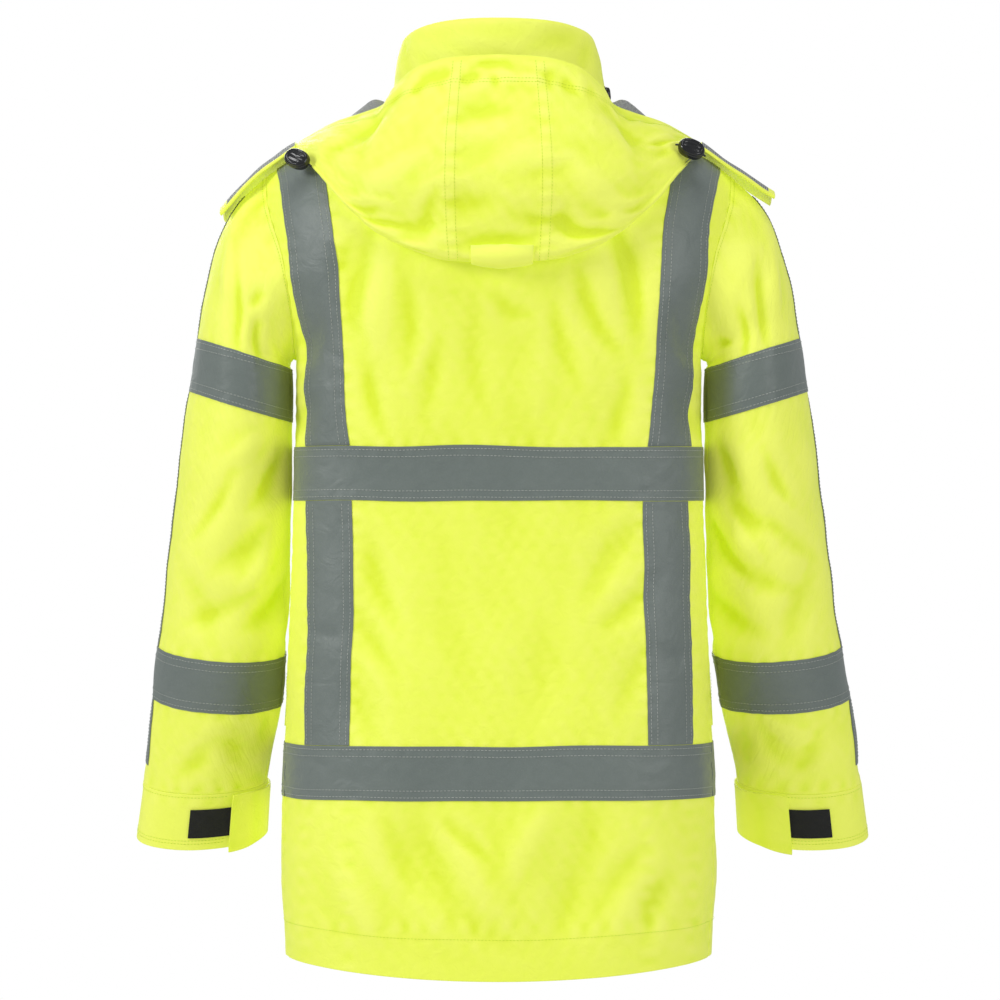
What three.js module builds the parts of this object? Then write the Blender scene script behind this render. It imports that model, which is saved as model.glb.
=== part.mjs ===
// A hi-vis work parka with a hood, worn and filled out with no wearer, as a standalone three.js scene graph.
// Millimetres, +Z up, +X the wearer's left, +Y the wearer's back. The origin is the middle of the neck
// opening, level with the two points where the shoulder seams meet the collar.
// Every piece of cloth is a thin wall worked out from a surface with two coordinates: one round the body or
// sleeve, one along it. What is sewn on a panel is made from the panel's own points, moved out.
import * as THREE from "three";

// Driving sizes.
const clothWall = 2.4;
const sleeveWall = 2;
const collarWall = 4;
const tapeWidth = 51;
const tapeWall = 1;
const tapeLift = 0.3;
const seamGap = 0.3;
const hemHeight = -808;
const hemDrop = 16.5;
const armpitHeight = -238;
const yokeHeight = -160;
const neckWidth = 102;
const neckBack = 84;
const neckFront = 104;
const shoulderWidth = 222;
const waistBandTop = -324;
const hemBandTop = -605;
const zipWidth = 12;
const zipWall = 1.6;
const zipSink = 2;
const flapWidth = 52;
const flapLift = 1.75;

// Finishes of the real cloths and trims.
const finishes = {
  yellow: { color: 0xe6f83a, roughness: 0.75, metalness: 0 },
  tape: { color: 0x767f7c, roughness: 0.45, metalness: 0.1 },
  lining: { color: 0x7f8488, roughness: 0.85, metalness: 0 },
  black: { color: 0x121312, roughness: 0.9, metalness: 0 },
  plastic: { color: 0x17181a, roughness: 0.35, metalness: 0 },
};

// Torso sections. side is the half width, back and front the depths from the middle plane, squareBack and
// squareFront how square the two halves are, and seam how far behind the middle plane the side seam lies.
const torsoSections = [
  { z: -808, side: 204, back: 137, front: 134, squareBack: 2.8, squareFront: 2.6, seam: 50 },
  { z: -722, side: 208, back: 136, front: 134, squareBack: 2.9, squareFront: 2.6, seam: 50 },
  { z: -646, side: 206, back: 133, front: 132, squareBack: 3.0, squareFront: 2.7, seam: 50 },
  { z: -570, side: 203.5, back: 128, front: 130, squareBack: 3.2, squareFront: 2.7, seam: 45 },
  { z: -500, side: 200.5, back: 122, front: 127, squareBack: 3.4, squareFront: 2.8, seam: 38 },
  { z: -420, side: 197, back: 116, front: 124, squareBack: 3.6, squareFront: 2.8, seam: 30 },
  { z: -345, side: 194.5, back: 114, front: 124, squareBack: 3.8, squareFront: 2.8, seam: 20 },
  { z: -290, side: 194, back: 117, front: 126, squareBack: 3.7, squareFront: 2.8, seam: 9 },
  { z: -238, side: 194, back: 121, front: 128, squareBack: 3.4, squareFront: 2.7, seam: 0 },
  { z: -160, side: 226, back: 126, front: 126, squareBack: 2.8, squareFront: 2.5, seam: 0 },
];

// The shoulder seam's height across the body. Inside the neck it is where the yoke would close.
const shoulderLine = [
  { x: 0, z: 16 },
  { x: 60, z: 10 },
  { x: 102, z: 0 },
  { x: 130, z: -12 },
  { x: 170, z: -33 },
  { x: 205, z: -52 },
  { x: 222, z: -64 },
  { x: 245, z: -86 },
];

// How far out the armhole seam lies at each height.
const armholeLine = [
  { z: -238, x: 194 },
  { z: -215, x: 194.5 },
  { z: -190, x: 196.5 },
  { z: -160, x: 201 },
  { z: -139, x: 205.5 },
  { z: -125, x: 210 },
  { z: -103, x: 217 },
  { z: -84, x: 221 },
  { z: -64, x: 222 },
];

// The inner edge of the shoulder tapes at each height: upper ones above the waist band, lower ones below.
const tapeLine = [
  { z: -808, x: 141 },
  { z: -570, x: 140 },
  { z: -440, x: 136 },
  { z: -345, x: 138 },
  { z: -300, x: 143 },
  { z: -200, x: 149 },
  { z: -120, x: 155 },
  { z: -80, x: 161 },
  { z: -30, x: 168 },
];

// Sleeve rings, the left one, by the distance along its outer line. outer and inner are the points farthest
// from and nearest to the body, mid is the ring's middle in depth, deep its half depth and pitch its lean.
const sleeveRings = [
  { at: 0, outerX: 222, outerZ: -64, innerX: 194, innerZ: -238, mid: 0, deep: 80, pitch: 0 },
  { at: 28, outerX: 243, outerZ: -83, innerX: 197, innerZ: -240.5, mid: 0, deep: 82, pitch: 0 },
  { at: 63, outerX: 262, outerZ: -112, innerX: 199, innerZ: -242, mid: 0, deep: 83, pitch: 0 },
  { at: 103, outerX: 275, outerZ: -150, innerX: 200, innerZ: -243.5, mid: 0, deep: 82, pitch: 0 },
  { at: 144, outerX: 284, outerZ: -190, innerX: 200.3, innerZ: -245.5, mid: -1, deep: 81, pitch: 0 },
  { at: 174, outerX: 289, outerZ: -219.5, innerX: 199, innerZ: -249, mid: -2, deep: 80, pitch: 0 },
  { at: 225, outerX: 296, outerZ: -270, innerX: 198, innerZ: -300, mid: -3, deep: 78, pitch: 1 },
  { at: 278, outerX: 304, outerZ: -323, innerX: 198.6, innerZ: -349, mid: -4, deep: 75, pitch: 2 },
  { at: 336, outerX: 310.5, outerZ: -380, innerX: 199.4, innerZ: -402, mid: -8, deep: 70, pitch: 4 },
  { at: 393, outerX: 318, outerZ: -437, innerX: 201, innerZ: -453, mid: -15, deep: 65, pitch: 7 },
  { at: 450, outerX: 325, outerZ: -494, innerX: 203.4, innerZ: -505, mid: -25, deep: 59, pitch: 10 },
  { at: 470, outerX: 328, outerZ: -514, innerX: 204.8, innerZ: -522, mid: -29, deep: 57, pitch: 11 },
  { at: 521, outerX: 333.5, outerZ: -564, innerX: 209.5, innerZ: -571, mid: -41, deep: 52, pitch: 13 },
  { at: 568, outerX: 340, outerZ: -610, innerX: 218, innerZ: -612, mid: -52, deep: 47, pitch: 15 },
  { at: 606, outerX: 345, outerZ: -647, innerX: 224.5, innerZ: -645, mid: -62, deep: 42, pitch: 17 },
  { at: 660, outerX: 353, outerZ: -701, innerX: 228.5, innerZ: -697, mid: -75, deep: 41, pitch: 20 },
];
const stripeTurn = -14;
const sleeveColumns = 8;
const cuffSeam = 606;
const cuffEnd = 660;
const upperBand = 174;
const lowerBand = 470;
const capBlend = 110;

// How much farther out the right sleeve's end hangs than the left one's, and from where on.
const swing = { left: 0, right: 7, from: 400, over: 170 };

// The largest folds of the back and fronts: a soft trough, or a ridge where deep is negative, at a point.
// half is the half length, wide the half width and lean the turn from upright, in degrees.
const backFolds = [
  { x: 128, z: -165, half: 70, wide: 15, lean: -14, deep: 4 },
  { x: 108, z: -190, half: 60, wide: 13, lean: -8, deep: -3 },
  { x: -118, z: -160, half: 75, wide: 15, lean: 18, deep: 5 },
  { x: -138, z: -190, half: 60, wide: 13, lean: 10, deep: -3 },
  { x: -86, z: -190, half: 60, wide: 14, lean: 22, deep: 3 },
  { x: 60, z: -710, half: 90, wide: 22, lean: 24, deep: 4 },
  { x: 8, z: -735, half: 70, wide: 18, lean: 30, deep: -3 },
  { x: -70, z: -720, half: 90, wide: 24, lean: -16, deep: 4 },
  { x: 105, z: -480, half: 80, wide: 20, lean: 10, deep: 3 },
  { x: -105, z: -440, half: 60, wide: 18, lean: -30, deep: 3.5 },
];
const frontFolds = [
  { x: 110, z: -190, half: 80, wide: 18, lean: 14, deep: 4 },
  { x: -112, z: -185, half: 80, wide: 18, lean: -14, deep: 4 },
  { x: 120, z: -480, half: 80, wide: 22, lean: -12, deep: 4 },
  { x: -118, z: -470, half: 80, wide: 22, lean: 14, deep: 4 },
  { x: 90, z: -720, half: 80, wide: 24, lean: 10, deep: 4 },
  { x: -84, z: -725, half: 80, wide: 24, lean: -12, deep: 4 },
];

// The largest sleeve folds. turn is the angle from the outer line towards the back, at the distance along.
const sleeveFolds = [
  { turn: 75, at: 120, half: 70, wide: 15, lean: 16, deep: 4 },
  { turn: 112, at: 135, half: 70, wide: 13, lean: 8, deep: 4 },
  { turn: 128, at: 290, half: 60, wide: 17, lean: -38, deep: 6 },
  { turn: 105, at: 352, half: 62, wide: 17, lean: -46, deep: 5 },
  { turn: 140, at: 410, half: 60, wide: 17, lean: -52, deep: 6 },
  { turn: 60, at: 420, half: 60, wide: 18, lean: 34, deep: 3.5 },
  { turn: 250, at: 330, half: 60, wide: 18, lean: 52, deep: 5 },
  { turn: 265, at: 400, half: 60, wide: 18, lean: 60, deep: 5 },
  { turn: 110, at: 565, half: 40, wide: 16, lean: 20, deep: 3 },
];

// The hood from its middle to its side end. top is the face edge, low the lower fold, bulge how
// far the outside stands off the line between them and rise how much of that goes up, puff how far the inner
// leg stands off the shoulder, and neck the angle round the neck seam from the middle of the back.
const hoodColumns = [
  { u: 0, topX: 0, topY: 114, topZ: 44, lowX: 0, lowZ: -153, bulge: 30, rise: 0, puff: 3, neck: 0 },
  { u: 0.2, topX: 40, topY: 112, topZ: 42, lowX: 44, lowZ: -150, bulge: 30, rise: 0, puff: 3, neck: 22 },
  { u: 0.38, topX: 74, topY: 104, topZ: 34, lowX: 80, lowZ: -140, bulge: 27, rise: 0, puff: 4, neck: 42 },
  { u: 0.55, topX: 100, topY: 84, topZ: 14, lowX: 118, lowZ: -122, bulge: 22, rise: 0.2, puff: 3, neck: 60 },
  { u: 0.62, topX: 109, topY: 75, topZ: 0, lowX: 132, lowZ: -111, bulge: 19, rise: 0.3, puff: 4, neck: 68 },
  { u: 0.7, topX: 126, topY: 61, topZ: -6, lowX: 147, lowZ: -98, bulge: 15, rise: 0.5, puff: 7, neck: 76 },
  { u: 0.84, topX: 156, topY: 38, topZ: -14, lowX: 169, lowZ: -73, bulge: 9, rise: 0.8, puff: 12, neck: 90 },
  { u: 1, topX: 190, topY: -4, topZ: -29, lowX: 191, lowZ: -49, bulge: 4, rise: 0.8, puff: 8, neck: 104 },
];
const hoodSteps = 11;
const foldStep = 6;
const outerShares = [0.2, 0.42, 0.64, 0.84];
const innerLeg = [
  { share: 0.1, puff: 0.3 },
  { share: 0.28, puff: 0.05 },
  { share: 0.5, puff: 0.5 },
  { share: 0.76, puff: 0.92 },
];
const hoodWall = 2.4;

// The hood's loop: its middle and half width in columns, its rows on the hood, its ends' lift and its arch.
const loop = { middle: -0.015, half: 0.13, reach: 0.135, rows: [4.5, 5.05, 5.6], lift: 0.7, arch: 3 };
const loopWall = 1.6;

// The chin flap at each side end of the hood: its upper face over the shoulder and sleeve head. The right
// one stands a little off the sleeve.
const chinFlapLines = {
  left: [
    { x: 194.6, z: -31 },
    { x: 212, z: -42 },
    { x: 232, z: -57 },
    { x: 250, z: -76 },
    { x: 266, z: -94 },
  ],
  right: [
    { x: 194.6, z: -31 },
    { x: 212, z: -43 },
    { x: 232, z: -57 },
    { x: 249, z: -68 },
    { x: 264, z: -78 },
  ],
};
const chinFlapBack = 34;
const chinFlapFront = -46;
const chinFlapWall = 3.4;

// Small helpers.
const radians = THREE.MathUtils.degToRad;
const vector = (x, y, z) => new THREE.Vector3(x, y, z);
const clamp = (value, low, high) => Math.min(high, Math.max(low, value));
const mix = (from, to, share) => from + (to - from) * share;
const smooth = (value) => {
  const share = clamp(value, 0, 1);
  return share * share * (3 - 2 * share);
};
const spread = (from, to, steps) => Array.from({ length: steps + 1 }, (_, i) => mix(from, to, i / steps));
const joined = (...lists) => {
  const all = lists.flat();
  return all.filter((value, i) => i === 0 || Math.abs(value - all[i - 1]) > 1e-6);
};

// A column of a table at a key, on a cubic that keeps each stretch between its two rows.
function tableAt(table, key, column, where) {
  const last = table.length - 1;
  if (where <= table[0][key]) return table[0][column];
  if (where >= table[last][key]) return table[last][column];
  let i = 0;
  while (table[i + 1][key] < where) i += 1;
  const step = (k) => table[k + 1][key] - table[k][key];
  const rise = (k) => (table[k + 1][column] - table[k][column]) / step(k);
  const slope = (k) => {
    if (k === 0) return rise(0);
    if (k === last) return rise(last - 1);
    const before = rise(k - 1);
    const after = rise(k);
    if (before * after <= 0) return 0;
    return (2 * before * after) / (before + after);
  };
  const h = step(i);
  const t = (where - table[i][key]) / h;
  const from = (1 + 2 * t) * (1 - t) * (1 - t) * table[i][column];
  const to = t * t * (3 - 2 * t) * table[i + 1][column];
  return from + to + h * t * (1 - t) * ((1 - t) * slope(i) - t * slope(i + 1));
}

const torso = (column, z) => tableAt(torsoSections, "z", column, z);
const shoulderAt = (x) => tableAt(shoulderLine, "x", "z", Math.abs(x));
const armholeAt = (z) => tableAt(armholeLine, "z", "x", z);

// How far behind or in front of the middle plane the torso's surface lies at x and z. Below the yoke it is
// a squared ellipse at that height, above it an arch that closes on the shoulder seam.
const yokeRound = { back: 2.4, front: 1.8 };
function torsoDepth(half, x, z) {
  const level = Math.min(z, yokeHeight);
  const square = torso(half === "back" ? "squareBack" : "squareFront", level);
  const out = clamp(Math.abs(x) / torso("side", level), 0, 1);
  const depth = torso(half, level) * (1 - out ** square) ** (1 / square);
  if (z <= yokeHeight) return depth;
  const up = clamp((z - yokeHeight) / (shoulderAt(x) - yokeHeight), 0, 1);
  return depth * (1 - up ** yokeRound[half]) ** (1 / yokeRound[half]);
}

// The height at which the yoke's arch passes a depth, the other way round.
function yokeHeightAt(half, x, depth) {
  const base = torsoDepth(half, x, yokeHeight);
  const share = clamp(Math.abs(depth) / base, 0, 1);
  return yokeHeight + (shoulderAt(x) - yokeHeight) * (1 - share ** yokeRound[half]) ** (1 / yokeRound[half]);
}

// The neck seam at an angle from the middle of the back.
function neckSeam(angle) {
  const half = Math.abs(angle) <= 90 ? "back" : "front";
  const x = neckWidth * Math.sin(radians(angle));
  const y = (half === "back" ? neckBack : neckFront) * Math.cos(radians(angle));
  return vector(x, y, yokeHeightAt(half, Math.min(Math.abs(x), neckWidth), y));
}

// The height of a panel's top edge across it: the neck seam, then the shoulder seam.
function panelTop(half, x) {
  if (x >= neckWidth) return shoulderAt(x);
  const depth = (half === "back" ? neckBack : neckFront) * Math.sqrt(1 - (x / neckWidth) ** 2);
  return yokeHeightAt(half, x, depth);
}

// One row of a panel, from the middle out to the side seam or armhole, as a line of close points with its
// length. Below the armpit a row is level. Above it the rows close up towards the neck and shoulder seams.
const rowSteps = 150;
const rowCache = new Map();
function panelRow(half, v) {
  const name = half + v.toFixed(5);
  if (rowCache.has(name)) return rowCache.get(name);
  const sign = half === "back" ? 1 : -1;
  const points = [];
  const rising = v > 1;
  const level = rising ? armpitHeight : mix(hemHeight, armpitHeight, v);
  const heightAt = (x) => (rising ? mix(armpitHeight, panelTop(half, x), v - 1) : level);
  const side = torso("side", level);
  const seam = torso("seam", level);
  let end = side;
  if (rising) {
    end = armholeAt(armpitHeight);
    for (let i = 0; i < 40; i += 1) end = armholeAt(heightAt(end));
  } else if (half === "back") {
    const square = torso("squareBack", level);
    end = side * (1 - (seam / torso("back", level)) ** square) ** (1 / square);
  }
  const split = rising ? mix(96, neckWidth, v - 1) : 96;
  const add = (x) => {
    const z = heightAt(x);
    const drop = rising ? 0 : hemDrop * (1 - smooth(v * 6)) * (1 - (x / side) ** 2);
    points.push(vector(x, sign * torsoDepth(half, x, z), z - (half === "back" ? drop : 0)));
  };
  for (let i = 0; i < rowSteps; i += 1) add(split * Math.sin((i / rowSteps) * (Math.PI / 2)));
  for (let i = 0; i <= rowSteps; i += 1) add(mix(split, end, Math.sin((i / rowSteps) * (Math.PI / 2))));
  if (half === "front" && !rising && seam > 0) {
    const square = torso("squareBack", level);
    for (let i = 1; i <= 30; i += 1) {
      const y = (seam * i) / 30;
      points.push(vector(side * (1 - (y / torso("back", level)) ** square) ** (1 / square), y, level));
    }
  }
  const lengths = [0];
  for (let i = 1; i < points.length; i += 1) {
    lengths.push(lengths[i - 1] + points[i].distanceTo(points[i - 1]));
  }
  const lengthAtX = (x) => {
    let i = 1;
    while (i < points.length - 1 && points[i].x < x) i += 1;
    const share = (x - points[i - 1].x) / (points[i].x - points[i - 1].x);
    return mix(lengths[i - 1], lengths[i], clamp(share, 0, 1));
  };
  const middle = half === "back" ? 0 : lengthAtX(zipWidth / 2 + seamGap);
  const tapeHeight = heightAt(150);
  const tapeStart = lengthAtX(tableAt(tapeLine, "z", "x", tapeHeight));
  const marks = [middle, lengthAtX(split), tapeStart, tapeStart + tapeWidth, lengths[lengths.length - 1]];
  const row = { points, lengths, marks };
  rowCache.set(name, row);
  return row;
}

// The torso without folds at column c and row v. Columns run 0 middle, 1 neck, 2 and 3 the shoulder tape's
// edges, 4 side seam or armhole. A negative column is the wearer's right.
function torsoPoint(half, c, v) {
  const row = panelRow(half, v);
  const column = clamp(Math.abs(c), 0, 4);
  const i = Math.min(3, Math.floor(column));
  const length = mix(row.marks[i], row.marks[i + 1], column - i);
  let low = 0;
  let high = row.lengths.length - 1;
  while (high - low > 1) {
    const middle = (low + high) >> 1;
    if (row.lengths[middle] <= length) low = middle;
    else high = middle;
  }
  const share = (length - row.lengths[low]) / Math.max(1e-9, row.lengths[high] - row.lengths[low]);
  const point = row.points[low].clone().lerp(row.points[high], share);
  point.x *= Math.sign(c) || 1;
  if (v === 2) point.y += half === "back" ? seamGap : -seamGap;
  return point;
}

// The depth of a list of folds at a place given by its across and up coordinates.
function foldDepth(folds, across, up, name) {
  let depth = 0;
  for (const fold of folds) {
    const dx = across - fold[name.across];
    const dz = up - fold[name.up];
    const lean = radians(fold.lean);
    const along = dx * Math.sin(lean) + dz * Math.cos(lean);
    const off = dx * Math.cos(lean) - dz * Math.sin(lean);
    if (Math.abs(along) > fold.half || Math.abs(off) > 3 * fold.wide) continue;
    const ends = Math.cos((along / fold.half) * (Math.PI / 2)) ** 2;
    depth += fold.deep * ends * Math.exp(-((off / fold.wide) ** 2));
  }
  return depth;
}

// A surface gives the point and the outward normal at two coordinates, u and v. The normal is worked out
// from points a small step away. facing is 1 where u turned to v runs round the outward side, else -1.
const step = 1e-3;
function surface(pointAt, facing, spanU, spanV) {
  const normalOf = (at, u, v) => {
    const u0 = clamp(u - step, spanU[0], spanU[1]);
    const u1 = clamp(u + step, spanU[0], spanU[1]);
    const v0 = clamp(v - step, spanV[0], spanV[1]);
    const v1 = clamp(v + step, spanV[0], spanV[1]);
    const du = at(u1, v).sub(at(u0, v));
    const dv = at(u, v1).sub(at(u, v0));
    return du.cross(dv).normalize().multiplyScalar(facing);
  };
  const folded = (u, v) => {
    const { point, deep } = pointAt(u, v);
    if (!deep) return point;
    const bare = (a, b) => pointAt(a, b).point;
    return point.addScaledVector(normalOf(bare, u, v), -deep);
  };
  return { point: folded, normal: (u, v) => normalOf(folded, u, v) };
}

const torsoSurface = (half, folds) =>
  surface(
    (c, v) => {
      const point = torsoPoint(half, c, v);
      const fade = smooth((4 - Math.abs(c)) * 1.6) * smooth((2 - v) * 3);
      const deep = foldDepth(folds, point.x, point.z, { across: "x", up: "z" }) * fade;
      return { point, deep };
    },
    half === "back" ? -1 : 1,
    [-4, 4],
    [0, 2],
  );
const backSurface = torsoSurface("back", backFolds);
const frontSurface = torsoSurface("front", frontFolds);

// The row coordinate of a height below the armpit.
const rowAt = (z) => (z - hemHeight) / (armpitHeight - hemHeight);

// The armhole seam at an angle from the shoulder point towards the back, on the left.
function armholeSeam(turn) {
  const turned = ((turn % 360) + 360) % 360;
  const half = turned <= 180 ? "back" : "front";
  const top = shoulderAt(shoulderWidth);
  const z = mix(armpitHeight, top, (1 + Math.cos(radians(turned))) / 2);
  const x = armholeAt(z);
  return vector(x, (half === "back" ? 1 : -1) * torsoDepth(half, x, z), z);
}

// A plain ring of the left sleeve.
function sleeveRing(turn, at) {
  const ring = (column) => tableAt(sleeveRings, "at", column, at);
  const outer = vector(ring("outerX"), 0, ring("outerZ"));
  const inner = vector(ring("innerX"), 0, ring("innerZ"));
  const middle = outer.clone().add(inner).multiplyScalar(0.5);
  const arm = outer.sub(inner).multiplyScalar(0.5 * Math.cos(radians(turn)));
  const lean = radians(ring("pitch"));
  const deep = ring("deep") * Math.sin(radians(turn));
  return middle.add(arm).add(vector(0, ring("mid") + deep * Math.cos(lean), -deep * Math.sin(lean)));
}

// The turn of a sleeve column at a distance along. Column 0 is the outer seam under the stripe, 1 and -1 are
// the stripe's edges, and 8 and -8 the inner seam.
function sleeveTurn(column, at) {
  const reach = THREE.MathUtils.radToDeg(tapeWidth / 2 / tableAt(sleeveRings, "at", "deep", at));
  const off = Math.abs(column);
  const turn = off <= 1 ? reach * off : mix(reach, 180, (off - 1) / (sleeveColumns - 1));
  return stripeTurn + turn * Math.sign(column);
}

// A place on a sleeve from the left one's plain place.
function sleevePlace(point, at, mirror) {
  const out = mirror > 0 ? swing.left : swing.right;
  return point.setX(mirror * (point.x + out * smooth((at - swing.from) / swing.over)));
}

// A sleeve's surface: rings that leave the armhole seam's own shape over the sleeve head.
const sleeveSurface = (mirror) =>
  surface(
    (column, at) => {
      const turn = sleeveTurn(column, at);
      const point = sleeveRing(turn, at);
      const hold = 1 - smooth(at / capBlend);
      if (hold > 0) point.add(armholeSeam(turn).sub(sleeveRing(turn, 0)).multiplyScalar(hold));
      const fade = smooth(at / 60) * smooth((cuffSeam - at) / 40);
      const around = tableAt(sleeveRings, "at", "deep", at);
      const places = sleeveFolds.map((fold) => ({ ...fold, round: radians(fold.turn) * around }));
      const deep = foldDepth(places, radians(turn) * around, at, { across: "round", up: "at" }) * fade;
      return { point: sleevePlace(point, at, mirror), deep };
    },
    -mirror,
    [-sleeveColumns, sleeveColumns],
    [0, cuffEnd],
  );

// The standing collar: from just above the neck seam to its rim, which leans forward. up runs from 0 to 1.
const collarRim = { width: 92, back: 78, front: 90, backHeight: 82, frontHeight: 33, bulge: 4, flat: 1.35 };
const collarSurface = surface(
  (angle, up) => {
    const base = neckSeam(angle);
    const back = Math.cos(radians(angle));
    const depth = back > 0 ? collarRim.back : collarRim.front;
    const height = mix(collarRim.backHeight, collarRim.frontHeight, ((1 - back) / 2) ** collarRim.flat);
    const rim = vector(collarRim.width * Math.sin(radians(angle)), depth * back, height);
    const swell = collarRim.bulge * Math.sin(Math.PI * up);
    const point = base.lerp(rim, up);
    point.x += swell * Math.sin(radians(angle));
    point.y += swell * back;
    return { point, deep: 0 };
  },
  -1,
  [-180, 180],
  [0, 1],
);

// The hood's profile in one column, from the face edge down its outside, round the lower fold and up the
// inner leg to the neck seam, as a smooth line through points. A row w is the number of points passed.
const hoodCache = new Map();
function hoodProfile(u) {
  const name = u.toFixed(5);
  if (hoodCache.has(name)) return hoodCache.get(name);
  const value = (column) => tableAt(hoodColumns, "u", column, Math.abs(u));
  const edge = vector(value("topX"), value("topY"), value("topZ"));
  const foldX = value("lowX");
  const foldZ = value("lowZ");
  const skin = torsoDepth("back", foldX, foldZ);
  const bulge = value("bulge");
  const points = [edge];
  for (const share of outerShares) {
    const out = bulge * Math.sin(Math.PI * share ** 1.15);
    const base = edge.clone().lerp(vector(foldX, skin + 10, foldZ), share);
    points.push(base.add(vector((out * foldX) / 260, out, out * value("rise"))));
  }
  const up = 5.5 * value("rise");
  points.push(vector(foldX, skin + 9 + 0.28 * bulge, foldZ + 2 + up));
  points.push(vector(foldX * 0.995, skin + 6.5, foldZ + up));
  const seat = neckSeam(value("neck"));
  seat.multiply(vector(1.045, 1.045, 1));
  seat.z += 4;
  for (const { share, puff } of innerLeg) {
    const x = mix(foldX, seat.x, share);
    const start = torsoDepth("back", x, foldZ + 8);
    const y = mix(Math.min(start, skin), seat.y, share ** (1.4 - 0.6 * Math.abs(u)));
    const z = yokeHeightAt(y >= 0 ? "back" : "front", x, y);
    const lift = 2.6 + puff * value("puff");
    points.push(vector(x, y + lift * 0.5, z + lift));
  }
  points.push(seat);
  const curve = new THREE.CatmullRomCurve3(points, false, "centripetal");
  hoodCache.set(name, curve);
  return curve;
}
const hoodSurface = surface(
  (u, w) => {
    const point = hoodProfile(u).getPoint(clamp(w / hoodSteps, 0, 1));
    point.x *= Math.sign(u) || 1;
    return { point, deep: 0 };
  },
  1,
  [-1, 1],
  [0, hoodSteps],
);

// The chin flap: a doubled strip of cloth over the shoulder, from its root at the hood to its free end.
const chinFlapSurface = (line, mirror) =>
  surface(
    (x, y) => {
      const drop = y > 4 ? 8 * ((y - 4) / 30) ** 2 : 10 * ((y - 4) / 50) ** 2;
      return { point: vector(mirror * x, y, tableAt(line, "x", "z", x) - drop), deep: 0 };
    },
    mirror,
    [line[0].x, line[4].x],
    [chinFlapFront, chinFlapBack],
  );

// A closed solid from an outer and an inner grid of points, joined round their edges. wrap joins the last
// column to the first, for a tube.
function wallGeometry(outer, inner, wrap) {
  const rows = outer.length;
  const columns = outer[0].length;
  const count = rows * columns;
  const positions = new Float32Array(count * 6);
  [outer, inner].forEach((grid, side) => {
    grid.forEach((row, i) => {
      row.forEach((p, j) => p.toArray(positions, 3 * (side * count + i * columns + j)));
    });
  });
  const index = [];
  const at = (side, i, j) => side * count + i * columns + (j % columns);
  const quad = (a, b, c, d) => index.push(a, b, c, a, c, d);
  const across = wrap ? columns : columns - 1;
  for (let i = 0; i < rows - 1; i += 1) {
    for (let j = 0; j < across; j += 1) {
      quad(at(0, i, j), at(0, i, j + 1), at(0, i + 1, j + 1), at(0, i + 1, j));
      quad(at(1, i, j), at(1, i + 1, j), at(1, i + 1, j + 1), at(1, i, j + 1));
    }
  }
  for (let j = 0; j < across; j += 1) {
    quad(at(0, 0, j), at(1, 0, j), at(1, 0, j + 1), at(0, 0, j + 1));
    quad(at(0, rows - 1, j), at(0, rows - 1, j + 1), at(1, rows - 1, j + 1), at(1, rows - 1, j));
  }
  if (!wrap) {
    const last = columns - 1;
    for (let i = 0; i < rows - 1; i += 1) {
      quad(at(0, i, 0), at(0, i + 1, 0), at(1, i + 1, 0), at(1, i, 0));
      quad(at(0, i, last), at(1, i, last), at(1, i + 1, last), at(0, i + 1, last));
    }
  }
  return facingOut(positions, index);
}

// A geometry with its faces turned to point out, whichever way its grid ran.
function facingOut(positions, index) {
  let volume = 0;
  const corner = (k) => vector().fromArray(positions, 3 * index[k]);
  for (let k = 0; k < index.length; k += 3) {
    volume += corner(k).dot(corner(k + 1).cross(corner(k + 2)));
  }
  if (volume < 0) {
    for (let k = 0; k < index.length; k += 3) {
      [index[k + 1], index[k + 2]] = [index[k + 2], index[k + 1]];
    }
  }
  const geometry = new THREE.BufferGeometry();
  geometry.setAttribute("position", new THREE.BufferAttribute(new Float32Array(positions), 3));
  geometry.setIndex(index);
  geometry.computeVertexNormals();
  return geometry;
}

// A piece of cloth on a surface: us and vs are its grid lines, lift how far its inner face stands off the
// surface, a number or a function of the two coordinates, and wall its thickness.
function clothOn(on, us, vs, lift, wall, wrap = false) {
  const liftAt = typeof lift === "function" ? lift : () => lift;
  const raised = (u, v, extra) => on.point(u, v).addScaledVector(on.normal(u, v), liftAt(u, v) + extra);
  const grid = (extra) => vs.map((v) => us.map((u) => raised(u, v, extra)));
  return wallGeometry(grid(wall), grid(0), wrap);
}

const sides = [["left", 1], ["right", -1]];
const garment = new THREE.Group();
function addMesh(name, geometry, finish) {
  const material = new THREE.MeshStandardMaterial({ ...finishes[finish], side: THREE.DoubleSide });
  const mesh = new THREE.Mesh(geometry, material);
  mesh.name = name;
  garment.add(mesh);
  return mesh;
}

// Grid lines of the torso panels, through every tape edge.
const edgeShare = 0.0035;
const neckColumns = spread(0, 1, 6);
const columnsHalf = joined(neckColumns, [1.5, 2, 2.5, 3, 3.25, 3.5, 3.75, 4 - edgeShare]);
const columnsBack = joined(columnsHalf.slice(1).reverse().map((c) => -c), columnsHalf);
const frontColumns = (mirror) => columnsHalf.map((c) => mirror * Math.max(c, 1e-6)).sort((a, b) => a - b);
const waistRows = [rowAt(waistBandTop - tapeWidth), rowAt(waistBandTop)];
const hemRows = [rowAt(hemBandTop - tapeWidth), rowAt(hemBandTop)];
const lowRows = joined(
  spread(0, hemRows[0], 4),
  hemRows[1],
  spread(hemRows[1], waistRows[0], 5),
  waistRows[1],
  1,
);
const highRows = [1.12, 1.28, 1.44, 1.6, 1.74, 1.85, 1.93, 1.975, 1.994, 2];
const bodyRows = joined(lowRows, highRows);

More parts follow.
